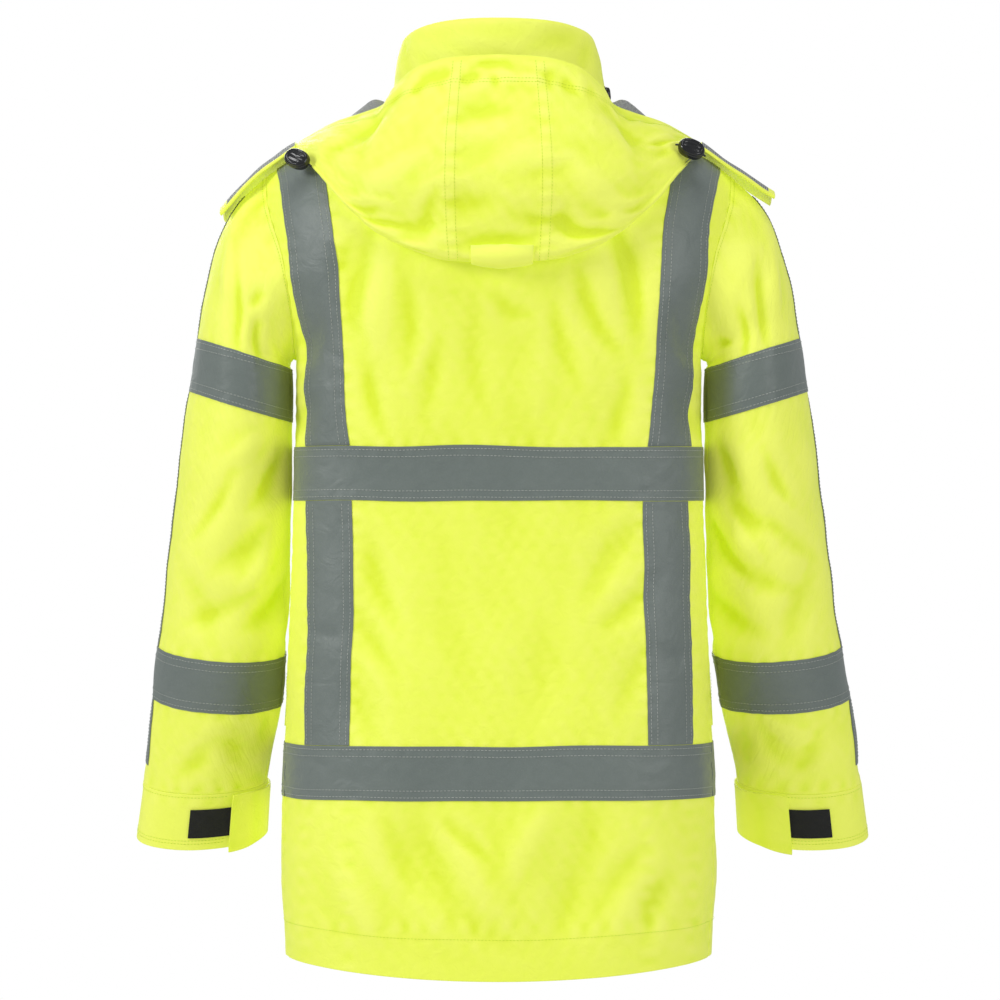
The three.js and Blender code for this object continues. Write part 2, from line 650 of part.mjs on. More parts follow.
function addBody() {
  addMesh("back_panel", clothOn(backSurface, columnsBack, bodyRows, -clothWall, clothWall), "yellow");
  for (const [name, mirror] of sides) {
    const columns = frontColumns(mirror);
    addMesh(`front_${name}`, clothOn(frontSurface, columns, bodyRows, -clothWall, clothWall), "yellow");
  }
}

// Reflective tapes of the body. Each is made from its panel's grid lines, and a tape that meets a band stops
// a seam gap short of it.
const gapRow = seamGap / (armpitHeight - hemHeight);
function addBodyTapes() {
  const bands = { waist: waistRows, hem: hemRows };
  for (const [name, rows] of Object.entries(bands)) {
    addMesh(`${name}_band_back`, clothOn(backSurface, columnsBack, rows, tapeLift, tapeWall), "tape");
    for (const [side, mirror] of sides) {
      const band = clothOn(frontSurface, frontColumns(mirror), rows, tapeLift, tapeWall);
      addMesh(`${name}_band_front_${side}`, band, "tape");
    }
  }
  const upperRows = joined(waistRows[1] + gapRow, 1, highRows);
  const between = spread(hemRows[1], waistRows[0], 5).slice(1, -1);
  const lowerRows = joined(hemRows[1] + gapRow, between, waistRows[0] - gapRow);
  for (const [side, mirror] of sides) {
    const columns = [2, 2.5, 3].map((c) => mirror * c).sort((a, b) => a - b);
    addMesh(`brace_back_${side}`, clothOn(backSurface, columns, upperRows, tapeLift, tapeWall), "tape");
    addMesh(`brace_low_${side}`, clothOn(backSurface, columns, lowerRows, tapeLift, tapeWall), "tape");
    addMesh(`brace_front_${side}`, clothOn(frontSurface, columns, upperRows, tapeLift, tapeWall), "tape");
  }
}

// Sleeves: a back and a front piece each, sewn along the outer and the inner line, with a cuff, tapes round
// them and a tape down the outer line.
const capRows = [0, 28, 63, 103, 144, 174];
const armRows = [225, 278, 307, 336, 364, 393, 421, 450];
const endRows = [470, 521, 568, 586, 606];
const sleeveRows = [...capRows, ...armRows, ...endRows];
const columnGap = 0.009;
function addSleeve(name, mirror) {
  const on = sleeveSurface(mirror);
  const seated = {
    point: (column, at) => {
      const point = on.point(column, Math.min(at, cuffSeam - seamGap / 2));
      if (at === 0) point.x += mirror * (seamGap + 0.5);
      return point;
    },
    normal: (column, at) => {
      const normal = on.normal(column, at);
      return at === 0 ? normal.setX(0).normalize() : normal;
    },
  };
  for (const [part, side] of [["back", 1], ["front", -1]]) {
    const columns = spread(0, sleeveColumns, sleeveColumns);
    columns[0] = columnGap;
    columns[sleeveColumns] -= columnGap;
    const ordered = columns.map((column) => side * column).sort((a, b) => a - b);
    const half = clothOn(seated, ordered, sleeveRows, -sleeveWall, sleeveWall);
    addMesh(`sleeve_${part}_${name}`, half, "yellow");
  }
  const round = spread(-sleeveColumns, sleeveColumns, 2 * sleeveColumns).slice(0, -1);
  for (const [band, top] of [["upper", upperBand], ["lower", lowerBand]]) {
    const rows = [top, top + tapeWidth];
    addMesh(`band_${band}_${name}`, clothOn(on, round, rows, tapeLift, tapeWall, true), "tape");
  }
  const stripeRows = {
    top: [28, 63, 103, 144, upperBand - seamGap],
    middle: [upperBand + tapeWidth + seamGap, 278, 307, 336, 364, 393, 421, 450, lowerBand - seamGap],
    low: [lowerBand + tapeWidth + seamGap, 568, 586],
  };
  for (const [part, rows] of Object.entries(stripeRows)) {
    addMesh(`stripe_${part}_${name}`, clothOn(on, [-1, 0, 1], rows, tapeLift, tapeWall), "tape");
  }
  addCuff(name, mirror);
}

// The cuff: a tube with a loop patch on its back and a tab that wraps over the patch from the inner side.
// Its surface is given by the turn and the distance along.
const cuffSurface = (mirror) =>
  surface(
    (turn, at) => {
      return { point: sleevePlace(sleeveRing(turn, at), at, mirror), deep: 0 };
    },
    -mirror,
    [-400, 400],
    [cuffSeam, cuffEnd],
  );
const cuffTwist = { left: 0, right: -15 };
const patchTurns = [80, 128];
const patchRows = [cuffSeam + 15, cuffSeam + 42];
const tabTurns = [117, 225];
const tabFlare = { top: 3, bottom: 4, inset: 4, length: 60 };
const tabRise = { base: 1, patch: 2.2, patchEase: 22, end: 1.2, endEase: 14, wall: 2.2 };
function addCuff(name, mirror) {
  const on = cuffSurface(mirror);
  const rows = [cuffSeam + seamGap, cuffSeam + 18, cuffSeam + 36, cuffEnd];
  const turns = spread(0, 360, 20).slice(0, -1);
  addMesh(`cuff_${name}`, clothOn(on, turns, rows, 0.2 - clothWall, clothWall, true), "yellow");
  const twist = cuffTwist[name];
  const across = spread(patchTurns[0] + twist, patchTurns[1] + twist, 5);
  const patch = clothOn(on, across, spread(patchRows[0], patchRows[1], 2), 0.7, 1.2);
  addMesh(`cuff_patch_${name}`, patch, "black");
  const overPatch = (turn) => tabRise.patch * (1 - smooth((turn - patchTurns[1]) / tabRise.patchEase));
  const atEnd = (turn) => tabRise.end * (1 - smooth((turn - tabTurns[0]) / tabRise.endEase));
  const tabLift = (turn) => tabRise.base + overPatch(turn) + atEnd(turn);
  const tabPoint = (turn, down, extra) => {
    const flare = 1 - smooth((turn - tabTurns[0]) / tabFlare.length);
    const top = cuffSeam + tabFlare.inset - tabFlare.top * flare;
    const at = mix(top, cuffEnd - 1 + tabFlare.bottom * flare, down);
    const low = Math.min(at, cuffEnd - 1);
    const place = turn + twist;
    const point = on.point(place, low).addScaledVector(on.normal(place, low), tabLift(turn) + extra);
    point.z -= at - low;
    return point;
  };
  const tabColumns = spread(tabTurns[0], tabTurns[1], 10);
  const tabRow = (down, extra) => tabColumns.map((turn) => tabPoint(turn, down, extra));
  const grid = (extra) => spread(0, 1, 3).map((down) => tabRow(down, extra));
  addMesh(`cuff_tab_${name}`, wallGeometry(grid(tabRise.wall), grid(0), false), "yellow");
}

// The collar, and the front closing: the zip between the fronts, with a storm flap over it up to the rim.
const collarNarrow = 0.9;
const collarLift = 1.8;
function frontLine(across, up) {
  const c = Math.max(Math.abs(across), zipWidth / 2 + seamGap);
  if (up <= 2) {
    const low = mix(hemHeight, armpitHeight, up);
    const level = up <= 1 ? low : mix(armpitHeight, panelTop("front", 0), up - 1);
    return vector(across, -torsoDepth("front", c, level), level);
  }
  const angle = 180 - THREE.MathUtils.radToDeg(c / neckWidth);
  const point = collarSurface.point(angle, clamp(up - 2, 0, 1));
  return vector(across * mix(1, collarNarrow, clamp(up - 2, 0, 1)), point.y, point.z);
}
const frontStrip = surface(
  (across, up) => ({ point: frontLine(across, up), deep: 0 }),
  1,
  [-60, 60],
  [0, 3],
);
function addFrontClosing() {
  const turnAt = (half, c) => {
    const seat = torsoPoint(half, Math.max(c, 1e-6), 2);
    const depth = half === "back" ? neckBack : neckFront;
    return THREE.MathUtils.radToDeg(Math.atan2(seat.x / neckWidth, seat.y / depth));
  };
  const backTurns = neckColumns.map((c) => turnAt("back", c));
  const leftTurns = joined(backTurns, neckColumns.map((c) => turnAt("front", c)).reverse());
  const collarTurns = joined(leftTurns.map((turn) => -turn).reverse(), leftTurns);
  const collarRows = [0.006, 0.25, 0.5, 0.75, 0.95, 1];
  const collarGrid = (extra) =>
    collarRows.map((up) =>
      collarTurns.map((angle) => {
        const inset = up > 0.96 ? 1.3 * (extra > 0 ? 1 : -1) : 0;
        const lift = extra - inset;
        const normal = collarSurface.normal(angle, Math.min(up, 0.95));
        if (up < 0.1) normal.setZ(0).normalize();
        const point = collarSurface.point(angle, up).addScaledVector(normal, lift);
        if (up < 0.1) point.z += collarLift;
        return point;
      }),
    );
  addMesh("collar", wallGeometry(collarGrid(0.001), collarGrid(-collarWall), false), "yellow");
  const heights = joined(lowRows, spread(1, 2, 6), spread(2, 3, 4));
  const half = zipWidth / 2;
  const zipLift = (x) => (Math.abs(x) < 3 ? -zipWall : -zipSink);
  addMesh("zip", clothOn(frontStrip, [-half, -2, 2, half], heights, zipLift, zipWall), "plastic");
  const flapHeights = heights.slice(0, -1).concat(2.985);
  const flapSides = spread(-flapWidth / 2, flapWidth / 2, 3);
  addMesh("storm_flap", clothOn(frontStrip, flapSides, flapHeights, flapLift, clothWall), "yellow");
}

// Pocket flaps on the lower fronts, whose outer corner shows past the side, a little open at the bottom.
const pocket = { top: -536, middle: -566, bottom: -592, lift: 0.6, flare: 1.8 };
function addPocketFlaps() {
  const rows = [pocket.bottom, pocket.middle, pocket.top].map(rowAt);
  for (const [name, mirror] of sides) {
    const columns = [1.2, 1.6, 2, 2.5, 3, 3.25, 3.42].map((c) => mirror * c).sort((a, b) => a - b);
    const lift = (c, v) => pocket.lift + pocket.flare * smooth((rows[2] - v) / (rows[2] - rows[0]));
    addMesh(`pocket_flap_${name}`, clothOn(frontSurface, columns, rows, lift, clothWall), "yellow");
  }
}

// The hood with its loop, chin flaps, cord locks and the short cords that they hold.
function addHood() {
  const us = spread(-1, 1, 26);
  const ws = joined(spread(0, 4, 4), spread(4.5, foldStep + 0.5, 4), spread(foldStep + 1, hoodSteps, 4));
  addMesh("hood", clothOn(hoodSurface, us, ws, -hoodWall, hoodWall), "yellow");
  const loopLift = (u) => loop.lift + loop.arch * (1 - ((u - loop.middle) / loop.reach) ** 2);
  const loopColumns = spread(loop.middle - loop.half, loop.middle + loop.half, 6);
  addMesh("hood_loop", clothOn(hoodSurface, loopColumns, loop.rows, loopLift, loopWall), "yellow");
  for (const [name, mirror] of sides) {
    const line = chinFlapLines[name];
    const flap = chinFlapSurface(line, mirror);
    const xs = spread(line[0].x, line[4].x, 6);
    const ys = spread(chinFlapFront, chinFlapBack, 5);
    addMesh(`chin_flap_${name}`, clothOn(flap, xs, ys, -chinFlapWall, chinFlapWall), "yellow");
  }
}

// A cord lock: a flat oval bead of moulded plastic with a rim round each end.
const lockSize = { long: 26, wide: 19, thick: 14, rim: 1.6 };
function cordLock(name, place, facing, roll, size) {
  const outline = new THREE.Shape();
  const half = { long: lockSize.long / 2 - lockSize.rim, wide: lockSize.wide / 2 - lockSize.rim };
  outline.absellipse(0, 0, half.long, half.wide, 0, Math.PI * 2);
  const options = {
    depth: lockSize.thick - 2 * lockSize.rim,
    bevelThickness: lockSize.rim,
    bevelSize: lockSize.rim,
    bevelSegments: 2,
    curveSegments: 10,
  };
  const geometry = new THREE.ExtrudeGeometry(outline, options);
  geometry.translate(0, 0, lockSize.rim - lockSize.thick / 2);
  geometry.scale(size, size, size);
  geometry.rotateZ(radians(roll));
  const mesh = addMesh(name, geometry, "plastic");
  mesh.position.copy(place);
  mesh.quaternion.setFromUnitVectors(vector(0, 0, 1), facing.clone().normalize());
}

const lockPlace = { left: { x: 190, y: 82.3, z: -52.5 }, right: { x: -182, y: 84.7, z: -43 }, roll: -28 };
const lockFacing = { x: 0.25, y: 0.85, z: 0.45 };
const collarLock = { angle: -104, up: 0.22, scale: 0.58, sink: 0.6 };
function addCordLocks() {
  for (const [name, mirror] of sides) {
    const place = vector(lockPlace[name].x, lockPlace[name].y, lockPlace[name].z);
    const facing = vector(mirror * lockFacing.x, lockFacing.y, lockFacing.z);
    cordLock(`cord_lock_${name}`, place, facing, lockPlace.roll, 1);
  }
  const facing = collarSurface.normal(collarLock.angle, collarLock.up);
  const off = lockSize.thick * collarLock.scale / 2 + collarLock.sink;
  const place = collarSurface.point(collarLock.angle, collarLock.up).addScaledVector(facing, off);
  cordLock("collar_lock", place, facing, 90, collarLock.scale);
}

addBody();
addBodyTapes();
addSleeve("left", 1);
addSleeve("right", -1);
addFrontClosing();
addPocketFlaps();
addHood();
addCordLocks();

export default garment;
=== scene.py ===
"""A hi-vis work parka with a dropped hood, worn and filled out with no wearer, seen from behind.

Every piece of cloth is a thin closed shell on a surface with two coordinates, worked out with numpy in
millimetres and put into its mesh in metres.
"""
import math

import bpy
import numpy as np
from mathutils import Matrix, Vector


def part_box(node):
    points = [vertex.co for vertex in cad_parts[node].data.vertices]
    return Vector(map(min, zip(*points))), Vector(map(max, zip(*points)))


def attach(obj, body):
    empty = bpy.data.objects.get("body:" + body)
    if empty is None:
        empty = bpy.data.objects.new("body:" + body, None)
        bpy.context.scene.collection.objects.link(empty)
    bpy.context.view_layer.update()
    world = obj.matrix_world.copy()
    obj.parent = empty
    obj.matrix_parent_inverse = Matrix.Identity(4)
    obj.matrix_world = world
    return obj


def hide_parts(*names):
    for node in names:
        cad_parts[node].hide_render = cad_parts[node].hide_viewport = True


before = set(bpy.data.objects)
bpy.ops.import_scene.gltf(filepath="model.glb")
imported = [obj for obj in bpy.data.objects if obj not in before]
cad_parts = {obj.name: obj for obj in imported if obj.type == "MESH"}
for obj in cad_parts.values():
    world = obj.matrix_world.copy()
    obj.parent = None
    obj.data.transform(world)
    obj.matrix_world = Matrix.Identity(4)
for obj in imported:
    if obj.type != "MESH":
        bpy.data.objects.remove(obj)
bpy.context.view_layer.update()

bl_info = {
    "name": "Hi-vis work parka",
    "version": (1, 0, 0),
    "blender": (4, 5, 0),
    "location": "View3D > Sidebar > Parka",
    "description": "Builds a hi-vis work parka with reflective tape over its packed solids",
    "category": "Object",
}

MM = 0.001


def table(names, *rows):
    """A table with named columns, as a dict of arrays."""
    return dict(zip(names.split(), np.array(rows, dtype=float).T))


def node_mm(name):
    """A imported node's lowest and highest corners, in millimetres."""
    low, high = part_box(name)
    return np.array(low) / MM, np.array(high) / MM


HEM = float(round(node_mm("front_left")[0][2]))
TAPE_WIDTH = 51.0
BAND_TOPS = {name: float(node_mm(f"{name}_band_back")[1][2]) for name in ("waist", "hem")}
SIDES = (("left", 1), ("right", -1))
ARMPIT, YOKE = -238.0, -160.0
NECK_WIDTH, NECK_BACK, NECK_FRONT = 102.0, 84.0, 104.0
SHOULDER_WIDTH = 222.0
HEM_DROP = 16.5
HEM_STITCH = HEM + 34
ZIP_HALF = 6.3
SEAM_HALF = 0.15

# Torso sections: half width, depths behind and in front of the middle plane, how square each half is, and
# how far behind the middle plane the side seam lies.
TORSO = table(
    "z side back front square_back square_front seam",
    (-808, 204, 137, 134, 2.8, 2.6, 50),
    (-722, 208, 136, 134, 2.9, 2.6, 50),
    (-646, 206, 133, 132, 3.0, 2.7, 50),
    (-570, 203.5, 128, 130, 3.2, 2.7, 45),
    (-500, 200.5, 122, 127, 3.4, 2.8, 38),
    (-420, 197, 116, 124, 3.6, 2.8, 30),
    (-345, 194.5, 114, 124, 3.8, 2.8, 20),
    (-290, 194, 117, 126, 3.7, 2.8, 9),
    (-238, 194, 121, 128, 3.4, 2.7, 0),
    (-160, 226, 126, 126, 2.8, 2.5, 0),
)
YOKE_ROUND = {"back": 2.4, "front": 1.8}
SHOULDER = table(
    "x z", (0, 16), (60, 10), (102, 0), (130, -12), (170, -33), (205, -52), (222, -64), (245, -86),
)
ARMHOLE = table(
    "z x", (-238, 194), (-215, 194.5), (-190, 196.5), (-160, 201), (-139, 205.5), (-125, 210), (-103, 217),
    (-84, 221), (-64, 222),
)
TAPE_LINE = table(
    "z x", (-808, 141), (-570, 140), (-440, 136), (-345, 138), (-300, 143), (-200, 149), (-120, 155),
    (-80, 161), (-30, 168),
)

# Sleeve rings by the distance along the outer line: the outer and the inner point, how far the middle lies
# behind the plane of the arms, half the depth, and how far the ring leans forward in degrees.
SLEEVE = table(
    "at outer_x outer_z inner_x inner_z mid deep pitch",
    (0, 222, -64, 194, -238, 0, 80, 0),
    (28, 243, -83, 197, -240.5, 0, 82, 0),
    (63, 262, -112, 199, -242, 0, 83, 0),
    (103, 275, -150, 200, -243.5, 0, 82, 0),
    (144, 284, -190, 200.3, -245.5, -1, 81, 0),
    (174, 289, -219.5, 199, -249, -2, 80, 0),
    (225, 296, -270, 198, -300, -3, 78, 1),
    (278, 304, -323, 198.6, -349, -4, 75, 2),
    (336, 310.5, -380, 199.4, -402, -8, 70, 4),
    (393, 318, -437, 201, -453, -15, 65, 7),
    (450, 325, -494, 203.4, -505, -25, 59, 10),
    (470, 328, -514, 204.8, -522, -29, 57, 11),
    (521, 333.5, -564, 209.5, -571, -41, 52, 13),
    (568, 340, -610, 218, -612, -52, 47, 15),
    (606, 345, -647, 224.5, -645, -62, 42, 17),
    (660, 353, -701, 228.5, -697, -75, 41, 20),
)
CUFF_SEAM, CUFF_END = 606.0, 660.0
STRIPE_TURN = -14.0
CAP_BLEND = 110.0
SWING = 7.0
UPPER_BAND, LOWER_BAND = 174.0, 470.0

# Troughs and, where deep is negative, ridges of the cloth: a place, half length, half width, lean from
# upright in degrees, depth, and how far the middle bows to the side.
FOLD_NAMES = "x z half wide lean deep bow"
BACK_FOLDS = table(
    FOLD_NAMES,
    (128, -165, 75, 13, -14, 5.0, 6), (108, -195, 62, 12, -8, -3.4, 4), (146, -150, 40, 8, -20, 2.4, 2),
    (88, -215, 60, 9, -4, 1.8, -5), (-118, -165, 80, 13, 18, 5.4, -8), (-138, -195, 62, 12, 10, -3.2, -4),
    (-92, -195, 62, 10, 24, 3.0, 6), (-64, -230, 60, 9, 16, 1.6, 4), (-14, -190, 34, 9, 64, 2.0, 6),
    (20, -240, 70, 12, 4, 1.8, 4), (-40, -262, 62, 14, -6, -1.8, 3), (62, -262, 60, 10, -10, 1.8, 3),
    (116, -280, 50, 8, 14, 1.8, 3), (-112, -290, 50, 9, -12, 1.6, -3),
    (60, -715, 90, 19, 26, 4.6, 8), (14, -735, 75, 15, 34, -3.6, 6), (94, -700, 60, 11, 20, 2.6, 4),
    (-70, -722, 90, 20, -18, 4.4, -8), (-28, -700, 60, 13, -30, -2.6, 5), (-112, -735, 62, 13, -34, 3.0, 4),
    (134, -740, 60, 15, 30, -2.8, 5), (-150, -755, 50, 11, -24, 2.6, 5), (32, -690, 42, 8, 44, 1.8, 3),
    (108, -455, 60, 13, 18, 3.4, 6), (118, -500, 62, 12, 30, 2.4, 4), (-108, -432, 60, 14, -34, 3.6, 6),
    (-122, -470, 52, 11, -48, 2.8, -4), (-128, -545, 56, 12, -22, 2.0, 4), (126, -560, 60, 12, 14, 2.0, 4),
    (40, -480, 90, 18, 6, 1.6, 6), (-44, -540, 90, 20, -8, 1.6, 6), (164, -500, 24, 7, 78, 1.6, 2),
    (-166, -520, 24, 7, 76, 1.4, 2), (186, -300, 40, 9, -30, 2.6, 4), (-184, -290, 44, 9, 28, 2.8, 4),
    (176, -230, 40, 8, -16, 2.2, 3), (-176, -226, 44, 8, 14, 2.2, 3),
)
FRONT_FOLDS = table(
    FOLD_NAMES,
    (110, -190, 80, 16, 14, 4.4, 6), (-112, -185, 80, 16, -14, 4.4, -6), (78, -215, 62, 12, 8, -2.6, 4),
    (-76, -220, 60, 12, -10, -2.6, 4), (120, -480, 80, 18, -12, 4.2, 6), (-118, -470, 80, 18, 14, 4.2, 6),
    (90, -720, 80, 20, 10, 4.4, 6), (-84, -725, 80, 20, -12, 4.4, 6), (54, -560, 90, 15, 14, -2.6, 5),
    (-58, -470, 90, 15, -10, -2.4, 5), (150, -730, 60, 14, -14, 3.0, 4), (-152, -715, 62, 14, 16, 3.0, 4),
    (186, -280, 50, 10, 24, 3.0, 4), (-186, -285, 50, 10, -24, 3.0, 4), (60, -300, 60, 10, -6, 1.8, 3),
    (-52, -140, 50, 10, 20, 1.8, 3), (50, -130, 50, 10, -22, 2.0, 3),
)
# Sleeve folds: x is the turn from the outer line towards the back, z the distance along.
SLEEVE_FOLDS = {
    "left": table(
        FOLD_NAMES,
        (75, 120, 72, 13, 16, 5.0, 6), (112, 132, 74, 12, 8, 4.6, -5), (52, 96, 50, 10, 24, -2.6, 4),
        (92, 70, 46, 8, -12, 2.6, 3), (128, 290, 60, 14, -40, 6.0, 6), (100, 262, 44, 10, -58, -2.6, 4),
        (105, 352, 66, 14, -48, 5.2, 8), (140, 410, 62, 14, -54, 6.0, 6), (72, 322, 56, 10, -34, 2.8, 4),
        (84, 418, 56, 11, -62, 3.6, 5), (120, 378, 42, 8, -38, -3.0, 3), (60, 420, 62, 14, 34, 3.6, 6),
        (250, 330, 60, 16, 52, 5.0, 5), (265, 400, 60, 16, 60, 5.0, 5), (300, 300, 50, 12, 30, 3.0, 4),
        (110, 556, 40, 11, 26, 3.6, 4), (76, 572, 32, 9, -24, 3.0, 3), (140, 545, 36, 10, -8, 3.0, 3),
        (96, 540, 30, 8, 60, -2.0, 3), (230, 560, 40, 12, 20, 3.4, 4), (200, 440, 46, 12, -70, 4.0, 4),
    ),
    "right": table(
        FOLD_NAMES,
        (70, 116, 78, 13, 12, 5.2, 6), (104, 128, 80, 12, 5, 5.0, -5), (128, 96, 50, 9, -16, 3.4, 4),
        (48, 110, 54, 10, 22, -2.6, 4), (128, 276, 52, 12, -34, 5.6, 6), (112, 318, 66, 13, -56, 6.0, 8),
        (140, 352, 56, 12, -44, 6.4, 6), (98, 386, 60, 12, -66, 4.8, 6), (134, 420, 60, 13, -60, 6.0, 5),
        (76, 296, 50, 10, -30, 3.0, 4), (66, 352, 56, 11, -48, 3.0, 5), (116, 348, 40, 8, -40, -3.4, 3),
        (60, 420, 60, 14, 30, 3.6, 6), (250, 330, 60, 16, 52, 5.0, 5), (265, 400, 60, 16, 60, 5.0, 5),
        (104, 558, 42, 11, -28, 3.6, 4), (74, 566, 36, 9, 22, 3.0, 3), (138, 560, 36, 10, 12, 3.2, 3),
        (88, 540, 32, 8, -58, -2.0, 3), (230, 560, 40, 12, 20, 3.4, 4), (200, 440, 46, 12, -70, 4.0, 4),
    ),
}

# How much deeper the folds are here than their tables say.
FOLD_GAIN = {"torso": 1.5, "sleeve": 1.3, "hood": 1.7}

COLLAR_RIM = {"width": 92, "back": 78, "front": 90, "back_z": 82, "front_z": 33, "bulge": 4, "flat": 1.35}
COLLAR_WALL = 4.0
# Collar folds: x is the way round the neck from the middle of the back, z the way up.
COLLAR_FOLDS = table(
    FOLD_NAMES,
    (70, 52, 40, 9, 66, 1.6, 4), (104, 58, 46, 9, 30, 2.0, 4), (-96, 50, 44, 9, -30, 1.8, 4),
    (-52, 66, 44, 8, -76, 1.4, 3), (14, 70, 50, 8, 84, -1.2, 3), (150, 44, 40, 10, 16, 2.0, 4),
    (-160, 44, 40, 10, -16, 2.0, 4), (-20, 46, 40, 9, 70, 1.2, 4),
)

# The hood in columns from its middle to its side end: the face edge's point, the lower fold's place, how far
# the outside bulges, how much of that goes up, the puff of the inner leg, and the angle of its neck seam.
HOOD = table(
    "u edge_x edge_y edge_z fold_x fold_z bulge rise puff neck",
    (0, 0, 114, 44, 0, -153, 30, 0, 3, 0),
    (0.2, 40, 112, 42, 44, -150, 30, 0, 3, 22),
    (0.38, 74, 104, 34, 80, -140, 27, 0, 4, 42),
    (0.55, 100, 84, 14, 118, -122, 22, 0.2, 3, 60),
    (0.62, 109, 75, 0, 132, -111, 19, 0.3, 4, 68),
    (0.7, 126, 61, -6, 147, -98, 15, 0.5, 7, 76),
    (0.84, 156, 38, -14, 169, -73, 9, 0.8, 12, 90),
    (1, 190, -4, -29, 191, -49, 4, 0.8, 8, 104),
)
HOOD_STEPS, HOOD_FOLD = 11, 6
HOOD_REACH, HOOD_STEP = 190.0, 40.0
HOOD_SEAM = 36.4
# Points of the hood's inner leg: the share of the way from the fold to the neck seam, and how puffed it is.
INNER_LEG = ((0.1, 0.3), (0.28, 0.05), (0.5, 0.5), (0.76, 0.92))
# Hood folds: x is the way from the middle, z the way down from the face edge.
HOOD_FOLDS = table(
    FOLD_NAMES,
    (118, 60, 60, 10, 30, 2.6, 5), (-112, 66, 62, 10, -30, 2.6, -5), (84, 120, 52, 11, 38, -2.4, 4),
    (-80, 126, 56, 11, -36, -2.4, 4), (146, 110, 40, 9, 10, 2.4, 3), (-150, 104, 42, 9, -12, 2.8, 3),
    (62, 172, 40, 9, 52, 2.2, 4), (-66, 170, 44, 9, -50, 2.4, 4), (16, 60, 40, 9, 74, 1.6, 4),
    (-22, 100, 46, 11, 80, -1.6, 5), (30, 142, 44, 12, 70, 1.8, 4), (-34, 152, 40, 10, -72, 1.6, 4),
    (0, 176, 46, 9, 88, 2.0, 3), (100, 158, 34, 8, 60, -2.0, 3), (-102, 156, 34, 8, -58, -2.0, 3),
    (168, 70, 30, 7, -20, 2.0, 2), (-170, 66, 30, 7, 20, 3.2, 2), (-150, 80, 26, 6, -84, 3.0, 2),
    (60, 20, 34, 9, 66, 1.6, 3), (-58, 22, 36, 9, -64, 1.6, 3),
    (6, 12, 30, 4, 84, 1.5, 5), (-14, 20, 26, 4, 98, -1.2, -4), (22, 26, 24, 4, 76, 1.3, 4),
    (96, 186, 40, 6, 54, 2.6, 5), (70, 200, 30, 5, 62, -1.8, 3), (112, 172, 34, 6, 40, 2.0, -4),
    (-78, 188, 40, 7, -50, 2.4, -6), (-104, 176, 36, 6, -38, -1.8, 4), (-60, 160, 34, 7, -20, 1.8, 6),
    (52, 150, 40, 6, 12, 1.6, 4), (0, 196, 36, 7, 88, -1.6, 4),
)
# The middle lines of the hood's side ends, over the shoulders.
FLAP_LINES = {
    "left": table("x z", (194.6, -31), (212, -42), (232, -57), (250, -76), (266, -94)),
    "right": table("x z", (194.6, -31), (212, -43), (232, -57), (249, -68), (264, -78)),
}
FLAP_BACK, FLAP_FRONT, FLAP_WALL = 34.0, -46.0, 3.4


def value(tab, key, column, where):
    """A column of a table at a key: a cubic through the rows that never passes the two rows beside it."""
    x, y = tab[key], tab[column]
    step = np.diff(x)
    rise = np.diff(y) / step
    slope = np.concatenate((rise[:1], np.zeros(len(x) - 2), rise[-1:]))
    product = rise[:-1] * rise[1:]
    total = rise[:-1] + rise[1:]
    slope[1:-1] = np.where(product > 0, 2 * product / np.where(product > 0, total, 1), 0)
    where = np.clip(np.asarray(where, dtype=float), x[0], x[-1])
    i = np.clip(np.searchsorted(x, where, side="right") - 1, 0, len(x) - 2)
    h = step[i]
    t = (where - x[i]) / h
    hold = (1 + 2 * t) * (1 - t) ** 2 * y[i] + t * t * (3 - 2 * t) * y[i + 1]
    return hold + h * t * (1 - t) * ((1 - t) * slope[i] - t * slope[i + 1])


def smooth(x):
    """0 below 0, 1 above 1 and a smooth rise between."""
    x = np.clip(x, 0, 1)
    return x * x * (3 - 2 * x)


def mix(a, b, share):
    return a + (b - a) * share


def unit(v):
    return v / np.maximum(np.linalg.norm(v, axis=-1, keepdims=True), 1e-9)


def arc_lengths(points, axis):
    """How far along an axis of a grid each point lies from the first."""
    steps = np.linalg.norm(np.diff(points, axis=axis), axis=-1)
    start = np.zeros_like(np.take(steps, [0], axis=axis))
    return np.concatenate((start, np.cumsum(steps, axis=axis)), axis=axis)


def normals(p, facing):
    """Normals of a grid of points: the cross product of its two differences, turned the way facing says."""
    du = np.gradient(p, axis=1)
    dv = np.gradient(p, axis=0)
    return unit(np.cross(du, dv)) * facing


def lines(*stops, edge=0.5):
    """Grid lines through stops given as value, count, value, count, value, with a close line at each end."""
    values = [np.linspace(stops[i], stops[i + 2], int(stops[i + 1]), endpoint=False)
              for i in range(0, len(stops) - 2, 2)]
    out = np.concatenate(values + [np.array([stops[-1]])])
    if edge:
        step = edge * np.sign(out[-1] - out[0])
        out = np.insert(out, [1, len(out) - 1], [out[0] + step, out[-1] - step])
    return out


def fold_depth(folds, across, up):
    """The summed depth of a table of folds: a squared cosine along each, and across it a bowed bell."""
    depth = np.zeros(np.broadcast(across, up).shape)
    for x, z, half, wide, lean, deep, bow in zip(*folds.values()):
        s, c = math.sin(math.radians(lean)), math.cos(math.radians(lean))
        along = ((across - x) * s + (up - z) * c) / half
        bell = np.cos(np.clip(along, -1, 1) * math.pi / 2) ** 2
        off = (across - x) * c - (up - z) * s - bow * bell
        width = wide * (0.75 + 0.5 * bell)
        depth += deep * bell * np.exp(-((off / width) ** 2))
    return depth


